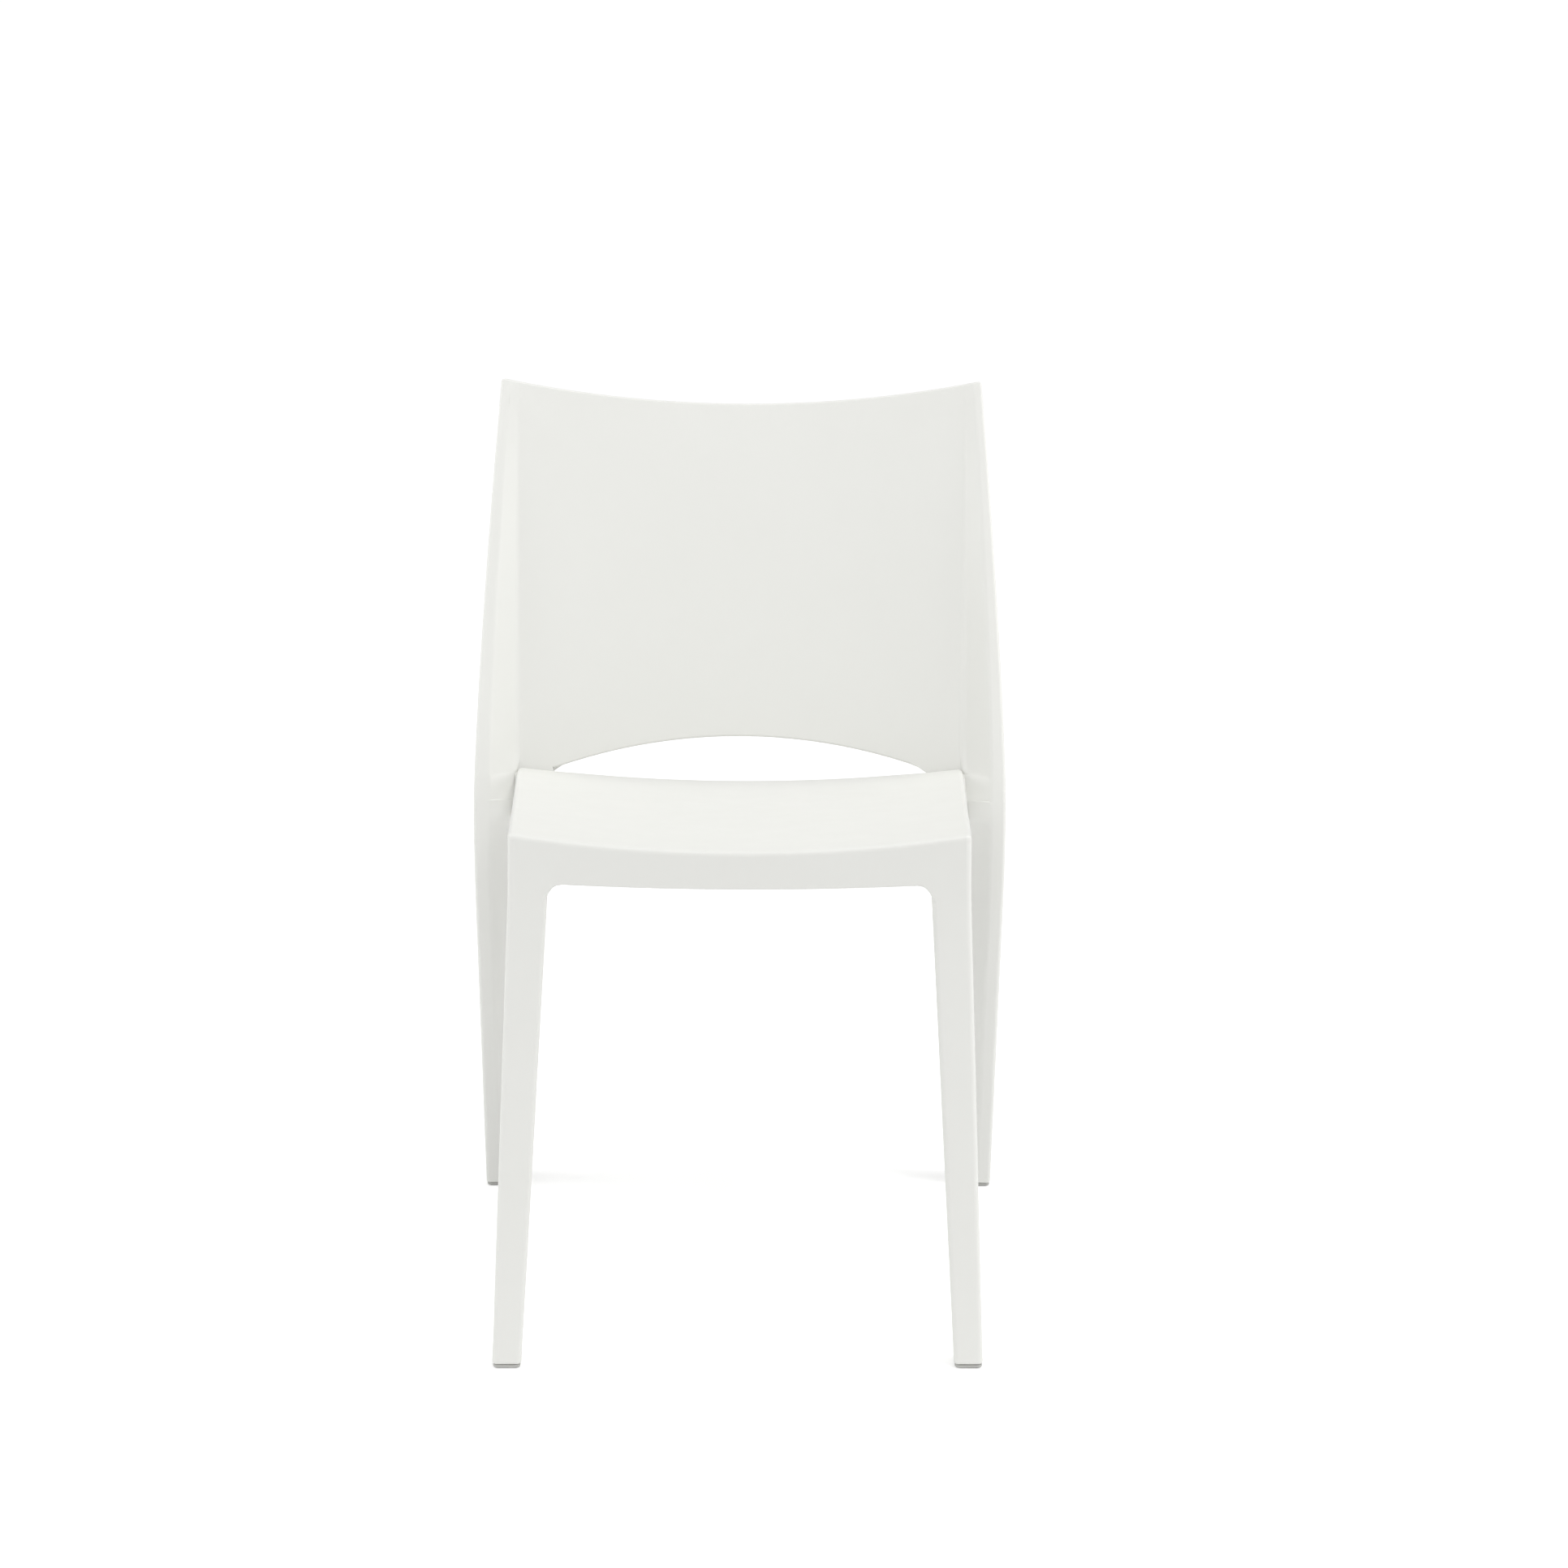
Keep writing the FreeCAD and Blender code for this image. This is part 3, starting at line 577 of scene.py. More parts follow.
    def where(self, i: int, j: int, k: int) -> Vector:
        """Places a point of the moulding.

        Args:
            i: Its column.
            j: Its row.
            k: Its layer: 0 in front, 1 at the rear.

        Returns:
            Its place on the chair.
        """
        lines = self.lines
        side = 1.0 if i <= self.middle else -1.0
        i = min(i, 2 * self.middle - i)
        rear = k == 1
        if i <= self.root:
            z = self.row_z(j, lines.half_width)
            x, y = self.column_point(i, rear, z)
            if j == self.top_row:
                z = self.row_z(j, x)
            if j <= self.rail_low_row + 2 and not rear and 1 < i < self.root:
                y -= self.seam_step * smooth_share(z, self.seam_height - self.seam_fade, self.seam_height)
            return Vector((side * x, y, z))
        x = self.column_x(i)
        z = self.row_z(j, x)
        if j > self.rail_top_row:
            y = lines.panel_front(x, z) + (lines.panel_thickness if rear else 0.0)
        else:
            y = lines.rail_rear(x) if rear else lines.rail_front(x)
        return Vector((side * x, y, z))

    def radius(self, a: Index, b: Index) -> float:
        """Chooses an edge's radius by where it runs on the moulding.

        Args:
            a: The index of one end of the edge.
            b: The index of its other end.

        Returns:
            The radius, or 0 for an edge that stays sharp.
        """
        lines = self.lines
        i = min(a[0], 2 * self.middle - a[0], b[0], 2 * self.middle - b[0])
        along_z = a[1] != b[1]
        along_y = a[2] != b[2]
        row = (a[1] + b[1]) / 2.0
        z = self.row_z(min(a[1], b[1]), lines.half_width)
        up = min(1.0, z / lines.height)
        front = a[2] == 0
        radii = self.radii
        if along_z:
            if i == 0:
                low, top = radii.outer_front if front else radii.outer_rear
                return mix(low, top, up)
            start = self.column_point(1, False, z)
            narrow = self.slant_shares[1] * math.dist(start, self.column_point(self.root, False, z))
            widest = self.share_of_strip * narrow
            if i == 1 and front:
                return min(mix(*radii.rim, up), widest)
            if i == self.root and row < self.rail_low_row:
                return min(radii.leg_inner, widest) if front else radii.leg_inner
            if i == self.root and front and row > self.arch_row:
                faded = smooth_share(z, self.crease_fade_low, self.crease_fade_high)
                return min(radii.crease * (1.0 - faded), widest)
            if i == self.rail_corner and front and row < self.rail_top_row:
                return radii.rail_corner
            return 0.0
        if along_y:
            corners = {0: radii.foot, self.top_row: radii.top_corner}
            if a[1] == self.arch_row and i == self.opening_start:
                return radii.opening_corner
            return corners.get(a[1], 0.0)
        if a[1] == self.rail_top_row:
            return radii.rail_top if not front and i >= self.opening_start else 0.0
        edges = {
            0: radii.foot,
            self.top_row: radii.top_edge,
            self.arch_row: radii.opening_edge,
            self.rail_low_row: radii.rail_low,
        }
        return edges.get(a[1], 0.0)

    def build(self) -> bpy.types.Object:
        """Builds the moulding.

        Returns:
            The finished piece.
        """
        start, end = self.root, 2 * self.middle - self.root
        opening = (self.opening_start, 2 * self.middle - self.opening_start)
        solid = CellSolid("back_moulding", 2 * self.middle, self.top_row)
        solid.cut(lambda c: start < c.x < end and c.y < self.rail_low_row)
        solid.cut(lambda c: opening[0] < c.x < opening[1] and self.rail_top_row < c.y < self.arch_row)
        solid.thicken()
        solid.place(self.where)
        solid.round_edges(self.radius, self.largest_radius, 4)
        for x in self.screws.places:
            self.drill(solid, x)
        solid.smooth()
        return solid.piece

    def drill(self, solid: CellSolid, x: float) -> None:
        """Drills a screw's counterbore and hole up into the rail.

        Args:
            solid: The moulding.
            x: The screw's place across the chair.
        """
        screws = self.screws
        y = self.lines.rail_middle(x)
        rail_low = self.rail_top(x) - self.rail_height
        boss_low = self.rail_top(x) + self.rail_gap - screws.boss_height
        deep = rail_low + screws.counterbore_depth
        wide = round_bar(screws.counterbore_radius, rail_low - screws.drill_reach, deep, x, y)
        solid.combine(wide, "DIFFERENCE")
        slim = round_bar(screws.hole_radius, deep - screws.drill_overlap, boss_low, x, y)
        solid.combine(slim, "DIFFERENCE")


@dataclass(frozen=True)
class SeatRadii:
    """The radii of the seat frame's edges."""

    corner: float = 0.0043
    leg_inner: tuple[float, float] = (0.0075, 0.0052)
    seat_edge: float = 0.0042
    rear_edge: float = 0.0016
    rear_under: float = 0.0012
    skirt_outer: float = 0.0016
    skirt_inner: float = 0.0008
    foot: float = 0.003


@dataclass
class SeatFrame(Moulding):
    """The dished seat with its skirt, ribs and front legs, as one moulding."""

    radii: SeatRadii = SeatRadii()
    foot_z: float = 0.003
    thickness: float = 0.005
    wall: float = 0.0045
    rib_depth: float = 0.011
    rib_width: float = 0.003
    leg_width_top: float = 0.033
    leg_width_foot: float = 0.0244
    leg_depth_top: float = 0.048
    leg_depth_foot: float = 0.028
    leg_splay: float = 0.0165
    fillet: float = 0.011
    apron_arch: float = 0.006
    opening_half: float = 0.181
    lip: float = 0.003
    gap: float = 0.0003
    leg_rows: int = 14
    ribs_x: tuple[float, ...] = (0.120, 0.040)
    ribs_y: tuple[float, ...] = (-0.115, -0.045, 0.025)
    buffers_y: tuple[float, ...] = (-0.150, 0.075)
    buffer_inset: float = 0.013
    buffer_stands: float = 0.003
    boss_radius: float = 0.009
    boss_ease: float = 0.0008
    corner_tuck: float = 0.0015
    largest_radius: float = 0.008

    def __post_init__(self) -> None:
        """Works out the cells: the lines across and along the seat."""
        lines = self.lines
        wide = self.leg_width_top
        bends = (0.0, 0.0015, 0.0035, 0.0065, self.fillet)
        insets = (0.0, self.wall, 0.014, 0.024, *(wide + bend for bend in bends))
        rear = (0.0, self.wall, 0.014, 0.024, 0.0347, 0.0353, 0.042, 0.050, 0.060)
        self.insets = list(zip(insets, rear))
        self.leg_column = 4
        half = self.rib_width / 2.0
        self.inner_x = [0.1215, 0.1185, 0.100, 0.080, 0.060, 0.0415, 0.0385, 0.020, 0.0]
        front = lines.seat_front_y
        deep = self.leg_depth_top
        steps = (0.0, self.wall, 0.016, 0.032, *(deep + bend for bend in bends))
        self.skirt_end = lines.rail_front(lines.panel_half_width) - 0.002
        ribs = [y + s for y in self.ribs_y for s in (-half, half)]
        others = [-0.160, -0.080, -0.010, 0.060, 0.095, self.skirt_end]
        self.rows_y = [front + s for s in steps] + sorted(ribs + others)
        self.leg_row = 4
        self.skirt_row = len(self.rows_y) - 1
        self.rear_shares = (0.35, 0.75, 1.0)
        self.last_row = self.skirt_row + len(self.rear_shares)
        self.middle = len(self.insets) + len(self.inner_x) - 1

    def line_x(self, i: int, y: float) -> float:
        """Places a line of points, from the seat's side to its middle.

        Args:
            i: The line.
            y: A place along the chair.

        Returns:
            The line's place across the chair there.
        """
        lines = self.lines
        if i >= len(self.insets):
            return self.inner_x[i - len(self.insets)]
        front, rear = self.insets[i]
        start = self.rows_y[8]
        share = smooth_share(y, start, self.skirt_end)
        return lines.seat_half_width(y) - mix(front, rear, share)

    def rear_edge(self, i: int) -> float:
        """Follows the seat's rear edge, which stops at the panel and passes under the opening.

        Args:
            i: A line of points.

        Returns:
            The edge's place along Y on that line.
        """
        lines = self.lines
        level = lines.seat_top(self.opening_half, self.skirt_end)
        x = self.line_x(i, lines.panel_front(self.opening_half, level))
        stands = mix(-self.gap, self.lip, smooth_share(i, self.leg_column + 0.5, len(self.insets)))
        return lines.panel_front(x, level) + stands

    def plan(self, i: int, j: int) -> tuple[float, float]:
        """Places a point of the seat in plan.

        Args:
            i: Its line.
            j: Its row.

        Returns:
            Its x and y.
        """
        if j <= self.skirt_row:
            y = self.rows_y[j]
        else:
            share = self.rear_shares[j - self.skirt_row - 1]
            y = mix(self.skirt_end, self.rear_edge(i), share)
        x = self.line_x(i, y)
        if i <= 1 and j == self.last_row:
            x -= self.corner_tuck
        return x, y

    def skirt_low(self, i: int, j: int, x: float, y: float) -> float:
        """Follows the skirt's lower edge, with its fillets into the leg.

        Args:
            i: The line of a point.
            j: Its row.
            x: Its place across the chair.
            y: Its place along the chair.

        Returns:
            The edge's height there.
        """
        lines = self.lines
        arch = self.apron_arch * (1.0 - (x / lines.seat_front_half) ** 2) if j <= 1 else 0.0
        level = lines.seat_bottom - arch - lines.seat_fall * lines.seat_share(y)
        if i <= self.leg_column and j <= self.leg_row:
            return lines.seat_bottom - self.fillet
        beside = max(0.0, self.line_x(self.leg_column, y) - x) if j <= 1 else self.fillet
        behind = max(0.0, y - self.rows_y[self.leg_row]) if i <= 1 else self.fillet
        return level - round_drop(beside, self.fillet) - round_drop(behind, self.fillet)

    def leg_point(self, i: int, j: int, k: int) -> Vector:
        """Places a point of the left front leg below the skirt.

        Args:
            i: Its line.
            j: Its row.
            k: Its layer, from 3 at the skirt down.

        Returns:
            Its place on the chair.
        """
        lines = self.lines
        top = lines.seat_bottom - self.fillet
        z = mix(top, self.foot_z, (k - 3) / self.leg_rows)
        down = (lines.seat_bottom - z) / lines.seat_bottom
        outer = lines.seat_front_half + self.leg_splay * down
        front = lines.seat_front_y - lines.seat_setback * down
        width = mix(self.leg_width_top, self.leg_width_foot, down)
        depth = mix(self.leg_depth_top, self.leg_depth_foot, down)
        even = min(1.0, (k - 3) / 2.0)
        across = mix(self.insets[i][0] / self.leg_width_top, i / self.leg_column, even)
        along_top = (self.rows_y[j] - lines.seat_front_y) / self.leg_depth_top
        along = mix(along_top, j / self.leg_row, even)
        run = lines.panel_front(lines.seat_rear_half, lines.seat_height) - lines.seat_front_y
        slope = (lines.seat_rear_half - lines.seat_front_half) / run
        x = outer - width * across + slope * depth * along
        return Vector((x, front + depth * along, z))

    def where(self, i: int, j: int, k: int) -> Vector:
        """Places a point of the moulding.

        Args:
            i: Its line.
            j: Its row.
            k: Its layer, from 0 on top of the seat down.

        Returns:
            Its place on the chair.
        """
        side = 1.0 if i <= self.middle else -1.0
        i = min(i, 2 * self.middle - i)
        if k > 3:
            point = self.leg_point(i, j, k)
            return Vector((side * point.x, point.y, point.z))
        x, y = self.plan(i, j)
        top = self.lines.seat_top(x, y)
        z = (top, top - self.thickness, top - self.thickness - self.rib_depth, self.skirt_low(i, j, x, y))[k]
        if k == 3 and (i <= self.leg_column and j <= self.leg_row):
            point = self.leg_point(i, j, 3)
            x, y = point.x, point.y
        return Vector((side * x, y, z))

    def is_leg(self, x: float, y: float) -> bool:
        """Returns whether a cell belongs to a leg."""
        x = min(x, 2 * self.middle - x)
        return x < self.leg_column and y < self.leg_row

    def is_skirt(self, x: float, y: float) -> bool:
        """Returns whether a cell belongs to the skirt or a leg."""
        edge = min(x, 2 * self.middle - x)
        return (edge < 1 and y < self.skirt_row) or y < 1 or self.is_leg(x, y)

    def is_rib(self, x: float, y: float) -> bool:
        """Tells whether a cell belongs to a rib under the seat.

        Args:
            x: The cell's middle, in cells across.
            y: The cell's middle, in cells along.

        Returns:
            True for a rib.
        """
        if y > self.skirt_row:
            return False
        half = self.rib_width / 2.0 + 0.0001
        i = int(min(x, 2 * self.middle - x))
        j = int(y)
        if i + 1 <= self.middle and i >= len(self.insets):
            across = (self.line_x(i, 0.0) + self.line_x(i + 1, 0.0)) / 2.0
            if any(abs(across - rib) < half for rib in self.ribs_x):
                return True
        along = (self.rows_y[j] + self.rows_y[j + 1]) / 2.0
        return any(abs(along - rib) < half for rib in self.ribs_y)

    def radius(self, a: Index, b: Index) -> float:
        """Chooses an edge's radius by where it runs on the moulding.

        Args:
            a: The index of one end of the edge.
            b: The index of its other end.

        Returns:
            The radius, or 0 for an edge that stays sharp.
        """
        i = min(a[0], 2 * self.middle - a[0], b[0], 2 * self.middle - b[0])
        j = min(a[1], b[1])
        k = min(a[2], b[2])
        radii = self.radii
        if a[2] != b[2]:
            if i == 0 and j == 0:
                return radii.corner
            if k >= 2 and (i, j) == (self.leg_column, self.leg_row):
                return mix(*radii.leg_inner, max(0.0, (k - 3) / self.leg_rows))
            return radii.corner if k >= 3 else 0.0
        along_x = a[0] != b[0]
        outer = (along_x and j == 0) or (not along_x and i == 0)
        rear = along_x and j == self.last_row
        if k == 0 and outer:
            return radii.seat_edge
        if k == 3:
            return radii.skirt_outer if outer else radii.skirt_inner
        if rear and k <= 1:
            return radii.rear_edge if k == 0 else radii.rear_under
        return radii.foot if k == 3 + self.leg_rows else 0.0

    def build(self) -> bpy.types.Object:
        """Builds the moulding.

        Returns:
            The finished piece.
        """
        solid = CellSolid("seat_moulding", 2 * self.middle, self.last_row)
        solid.thicken()
        solid.deepen(1, lambda x, y: self.is_skirt(x, y) or self.is_rib(x, y))
        solid.deepen(2, self.is_skirt)
        for row in range(self.leg_rows):
            solid.deepen(3 + row, self.is_leg)
        solid.place(self.where)
        solid.round_edges(self.radius, self.largest_radius, 4)
        lines = self.lines
        for y in self.buffers_y:
            for side in (1.0, -1.0):
                x = side * (lines.seat_half_width(y) - self.buffer_inset)
                low = lines.seat_bottom - lines.seat_fall * lines.seat_share(y) + self.buffer_stands
                high = lines.seat_top(x, y) - self.thickness / 2.0
                solid.combine(round_bar(self.boss_radius, low, high, x, y, self.boss_ease), "UNION")
        solid.smooth()
        return solid.piece


class Texture(Enum):
    """The fine texture that a finish has."""

    SATIN_GRAIN = "satin_grain"
    SOFT_PORES = "soft_pores"
    TURNED = "turned"
    SMOOTH = "smooth"


class EffectGroups:
    """The shader groups that the finishes share, each built once."""

    def __init__(self) -> None:
        """Builds the groups."""
        self.grain = self.build_grain()
        self.tone = self.build_tone()
        self.dust = self.build_dust()
        self.rub = self.build_rub()

    @staticmethod
    def start(name: str, inputs: dict[str, tuple[str, float]], outputs: dict[str, str]) -> bpy.types.NodeTree:
        """Starts a group with its named inputs and outputs.

        Args:
            name: The group's name.
            inputs: The type and the default value of each input.
            outputs: The type of each output.

        Returns:
            The group, with its two end nodes.
        """
        group = bpy.data.node_groups.new(name, "ShaderNodeTree")
        for label, (kind, value) in inputs.items():
            socket = group.interface.new_socket(label, in_out="INPUT", socket_type=kind)
            if kind == "NodeSocketFloat":
                socket.default_value = value
        for label, kind in outputs.items():
            group.interface.new_socket(label, in_out="OUTPUT", socket_type=kind)
        group.nodes.new("NodeGroupInput").name = "in"
        group.nodes.new("NodeGroupOutput").name = "out"
        return group

    @staticmethod
    def noise(group: bpy.types.NodeTree, scale: float, detail: float, roughness: float) -> bpy.types.Node:
        """Adds a noise texture on the piece's own coordinates.

        Args:
            group: The group that it goes in.
            scale: How fine it is.
            detail: How many octaves it has.
            roughness: How strong the finer octaves are.

        Returns:
            The texture.
        """
        where = group.nodes.new("ShaderNodeTexCoord")
        texture = group.nodes.new("ShaderNodeTexNoise")
        texture.inputs["Scale"].default_value = scale
        texture.inputs["Detail"].default_value = detail
        texture.inputs["Roughness"].default_value = roughness
        group.links.new(where.outputs["Object"], texture.inputs["Vector"])
        return texture

    @staticmethod
    def spread(
        group: bpy.types.NodeTree,
        source: bpy.types.NodeSocket,
        low: float,
        high: float,
    ) -> bpy.types.Node:
        """Adds a node that spreads a range of a value over 0 to 1.

        Args:
            group: The group that it goes in.
            source: The value.
            low: What becomes 0.
            high: What becomes 1.

        Returns:
            The node.
        """
        node = group.nodes.new("ShaderNodeMapRange")
        node.interpolation_type = "SMOOTHSTEP"
        node.inputs["From Min"].default_value = low
        node.inputs["From Max"].default_value = high
        group.links.new(source, node.inputs["Value"])
        return node

    @staticmethod
    def maths(
        group: bpy.types.NodeTree,
        operation: str,
        first: bpy.types.NodeSocket,
        second: "bpy.types.NodeSocket | float",
    ) -> bpy.types.NodeSocket:
        """Adds a sum on two values.

        Args:
            group: The group that it goes in.
            operation: What it does to them.
            first: The first value.
            second: The second value, or a constant.

        Returns:
            The result.
        """
        node = group.nodes.new("ShaderNodeMath")
        node.operation = operation
        group.links.new(first, node.inputs[0])
        if isinstance(second, float):
            node.inputs[1].default_value = second
        else:
            group.links.new(second, node.inputs[1])
        return node.outputs[0]

    @staticmethod
    def blend(
        group: bpy.types.NodeTree,
        share: bpy.types.NodeSocket,
        first: bpy.types.NodeSocket,
        second: bpy.types.NodeSocket,
    ) -> bpy.types.NodeSocket:
        """Adds a colour that turns from one to another.

        Args:
            group: The group that it goes in.
            share: How far it has turned.
            first: The colour at 0.
            second: The colour at 1.

        Returns:
            The colour.
        """
        node = group.nodes.new("ShaderNodeMix")
        node.data_type = "RGBA"
        group.links.new(share, node.inputs["Factor"])
        group.links.new(first, node.inputs["A"])
        group.links.new(second, node.inputs["B"])
        return node.outputs["Result"]

    def build_grain(self) -> bpy.types.NodeTree:
        """Builds the spark-eroded grain of a mould: fine pits with a slower swell under them.

        Returns:
            The group.
        """
        group = self.start(
            "moulded_grain",
            {"Fine": ("NodeSocketFloat", 0.6), "Swell": ("NodeSocketFloat", 0.4)},
            {"Height": "NodeSocketFloat"},
        )
        ends = group.nodes
        fine = self.noise(group, 1400.0, 2.0, 0.55)
        swell = self.noise(group, 55.0, 1.0, 0.4)
        pits = self.maths(group, "MULTIPLY", fine.outputs["Fac"], ends["in"].outputs["Fine"])
        slow = self.maths(group, "MULTIPLY", swell.outputs["Fac"], ends["in"].outputs["Swell"])
        total = self.maths(group, "ADD", pits, slow)
        group.links.new(total, ends["out"].inputs["Height"])
        return group

    def build_tone(self) -> bpy.types.NodeTree:
        """Builds the slow, faint change of shade across a large moulding.

        Returns:
            The group.
        """
        group = self.start(
            "moulded_tone",
            {
                "Light": ("NodeSocketColor", 0.0),
                "Deep": ("NodeSocketColor", 0.0),
                "Roughness Low": ("NodeSocketFloat", 0.4),
                "Roughness High": ("NodeSocketFloat", 0.5),
            },
            {"Color": "NodeSocketColor", "Roughness": "NodeSocketFloat"},
        )
        ends = group.nodes
        clouds = self.noise(group, 5.0, 3.0, 0.55)
        share = self.spread(group, clouds.outputs["Fac"], 0.35, 0.65).outputs["Result"]
        colour = self.blend(group, share, ends["in"].outputs["Light"], ends["in"].outputs["Deep"])
        group.links.new(colour, ends["out"].inputs["Color"])
        patches = self.noise(group, 38.0, 3.0, 0.6)
        rough = group.nodes.new("ShaderNodeMapRange")
        rough.inputs["From Min"].default_value = 0.3
        rough.inputs["From Max"].default_value = 0.7
        group.links.new(patches.outputs["Fac"], rough.inputs["Value"])
        group.links.new(ends["in"].outputs["Roughness Low"], rough.inputs["To Min"])
        group.links.new(ends["in"].outputs["Roughness High"], rough.inputs["To Max"])
        group.links.new(rough.outputs["Result"], ends["out"].inputs["Roughness"])
        return group

    def build_dust(self) -> bpy.types.NodeTree:
        """Builds faint dust, which settles in patches on faces that look up.

        Returns:
            The group.
        """
        group = self.start(
            "settled_dust",
            {
                "Color": ("NodeSocketColor", 0.0),
                "Dust": ("NodeSocketColor", 0.0),
                "Roughness": ("NodeSocketFloat", 0.4),
                "Amount": ("NodeSocketFloat", 0.1),
            },
            {"Color": "NodeSocketColor", "Roughness": "NodeSocketFloat"},
        )
        ends = group.nodes
        geometry = group.nodes.new("ShaderNodeNewGeometry")
        split = group.nodes.new("ShaderNodeSeparateXYZ")
        group.links.new(geometry.outputs["Normal"], split.inputs["Vector"])
        upward = self.spread(group, split.outputs["Z"], 0.25, 0.95).outputs["Result"]
        patches = self.noise(group, 16.0, 5.0, 0.65)
        patchy = self.spread(group, patches.outputs["Fac"], 0.35, 0.75).outputs["Result"]
        share = self.maths(group, "MULTIPLY", upward, patchy)
        share = self.maths(group, "MULTIPLY", share, ends["in"].outputs["Amount"])
        colour = self.blend(group, share, ends["in"].outputs["Color"], ends["in"].outputs["Dust"])
        group.links.new(colour, ends["out"].inputs["Color"])
        rough = self.maths(group, "MULTIPLY", share, 0.35)
        rough = self.maths(group, "ADD", rough, ends["in"].outputs["Roughness"])
        group.links.new(rough, ends["out"].inputs["Roughness"])
        return group

    def build_rub(self) -> bpy.types.NodeTree:
        """Builds the polish of rubbed edges: smoother and a little lighter where the shape is convex.

        Returns:
            The group.
        """
        group = self.start(
            "rubbed_edges",
            {
                "Color": ("NodeSocketColor", 0.0),
                "Rubbed": ("NodeSocketColor", 0.0),
                "Roughness": ("NodeSocketFloat", 0.4),
                "Amount": ("NodeSocketFloat", 0.3),
            },
            {"Color": "NodeSocketColor", "Roughness": "NodeSocketFloat"},
        )
        ends = group.nodes
        geometry = group.nodes.new("ShaderNodeNewGeometry")
        edge = self.spread(group, geometry.outputs["Pointiness"], 0.515, 0.60).outputs["Result"]
        breaks = self.noise(group, 90.0, 4.0, 0.6)
        worn = self.spread(group, breaks.outputs["Fac"], 0.30, 0.70).outputs["Result"]
        share = self.maths(group, "MULTIPLY", edge, worn)
        share = self.maths(group, "MULTIPLY", share, ends["in"].outputs["Amount"])
        colour = self.blend(group, share, ends["in"].outputs["Color"], ends["in"].outputs["Rubbed"])
        group.links.new(colour, ends["out"].inputs["Color"])
        less = self.maths(group, "MULTIPLY", share, -0.12)
        rough = self.maths(group, "ADD", less, ends["in"].outputs["Roughness"])
        group.links.new(rough, ends["out"].inputs["Roughness"])
        return group


@dataclass(frozen=True)
class Finish:
    """A finish: its two close shades, its gloss and its fine texture."""

    name: str
    light: tuple[float, float, float]
    deep: tuple[float, float, float]
    rough_low: float
    rough_high: float
    texture: Texture = Texture.SATIN_GRAIN
    metallic: float = 0.0
    dust: float = 0.0
    rubbed: float = 0.0
    bump: float = 0.05
    bump_distance: float = 0.0002
    swell: float = 0.06

    def add_group(self, material: bpy.types.Material, group: bpy.types.NodeTree) -> bpy.types.Node:
        """Adds a node for a shared group.

        Args:
            material: The material that it goes in.
            group: The shared group.

        Returns:
            The node.
        """
        node = material.node_tree.nodes.new("ShaderNodeGroup")
        node.node_tree = group
        return node

    def height(self, material: bpy.types.Material, groups: EffectGroups) -> bpy.types.NodeSocket:
        """Adds the finish's fine texture.

        Args:
            material: The material that it goes in.
            groups: The shared shader groups.

        Returns:
            Its height.
        """
        if self.texture is Texture.TURNED:
            nodes = material.node_tree.nodes
            where = nodes.new("ShaderNodeTexCoord")
            rings = nodes.new("ShaderNodeTexWave")
            rings.bands_direction = "Z"
            rings.inputs["Scale"].default_value = 900.0
            rings.inputs["Distortion"].default_value = 0.6
            material.node_tree.links.new(where.outputs["Object"], rings.inputs["Vector"])
            return rings.outputs["Fac"]
        grain = self.add_group(material, groups.grain)
        fine = {Texture.SATIN_GRAIN: 0.7, Texture.SOFT_PORES: 1.0, Texture.SMOOTH: 0.2}[self.texture]
        grain.inputs["Fine"].default_value = fine
        grain.inputs["Swell"].default_value = self.swell
        return grain.outputs["Height"]

    def build(self, groups: EffectGroups) -> bpy.types.Material:
        """Builds the material.

        Args:
            groups: The shared shader groups.

        Returns:
            The material.
        """
        material = bpy.data.materials.new(self.name)
        material.use_nodes = True
        links = material.node_tree.links
        shader = material.node_tree.nodes["Principled BSDF"]
        shader.inputs["Metallic"].default_value = self.metallic
        tone = self.add_group(material, groups.tone)
        tone.inputs["Light"].default_value = (*self.light, 1.0)
        tone.inputs["Deep"].default_value = (*self.deep, 1.0)
        tone.inputs["Roughness Low"].default_value = self.rough_low
        tone.inputs["Roughness High"].default_value = self.rough_high
        colour, rough = tone.outputs["Color"], tone.outputs["Roughness"]
        if self.rubbed:
            rub = self.add_group(material, groups.rub)
            rub.inputs["Rubbed"].default_value = tuple(min(1.0, c * 1.06) for c in self.light) + (1.0,)
            rub.inputs["Amount"].default_value = self.rubbed
            links.new(colour, rub.inputs["Color"])
            links.new(rough, rub.inputs["Roughness"])
            colour, rough = rub.outputs["Color"], rub.outputs["Roughness"]
        if self.dust:
            dust = self.add_group(material, groups.dust)
            dust.inputs["Dust"].default_value = (0.62, 0.60, 0.56, 1.0)
            dust.inputs["Amount"].default_value = self.dust
            links.new(colour, dust.inputs["Color"])
            links.new(rough, dust.inputs["Roughness"])
            colour, rough = dust.outputs["Color"], dust.outputs["Roughness"]
        links.new(colour, shader.inputs["Base Color"])
        links.new(rough, shader.inputs["Roughness"])
        bump = material.node_tree.nodes.new("ShaderNodeBump")
        bump.inputs["Strength"].default_value = self.bump
        bump.inputs["Distance"].default_value = self.bump_distance
        links.new(self.height(material, groups), bump.inputs["Height"])
        links.new(bump.outputs["Normal"], shader.inputs["Normal"])
        return material


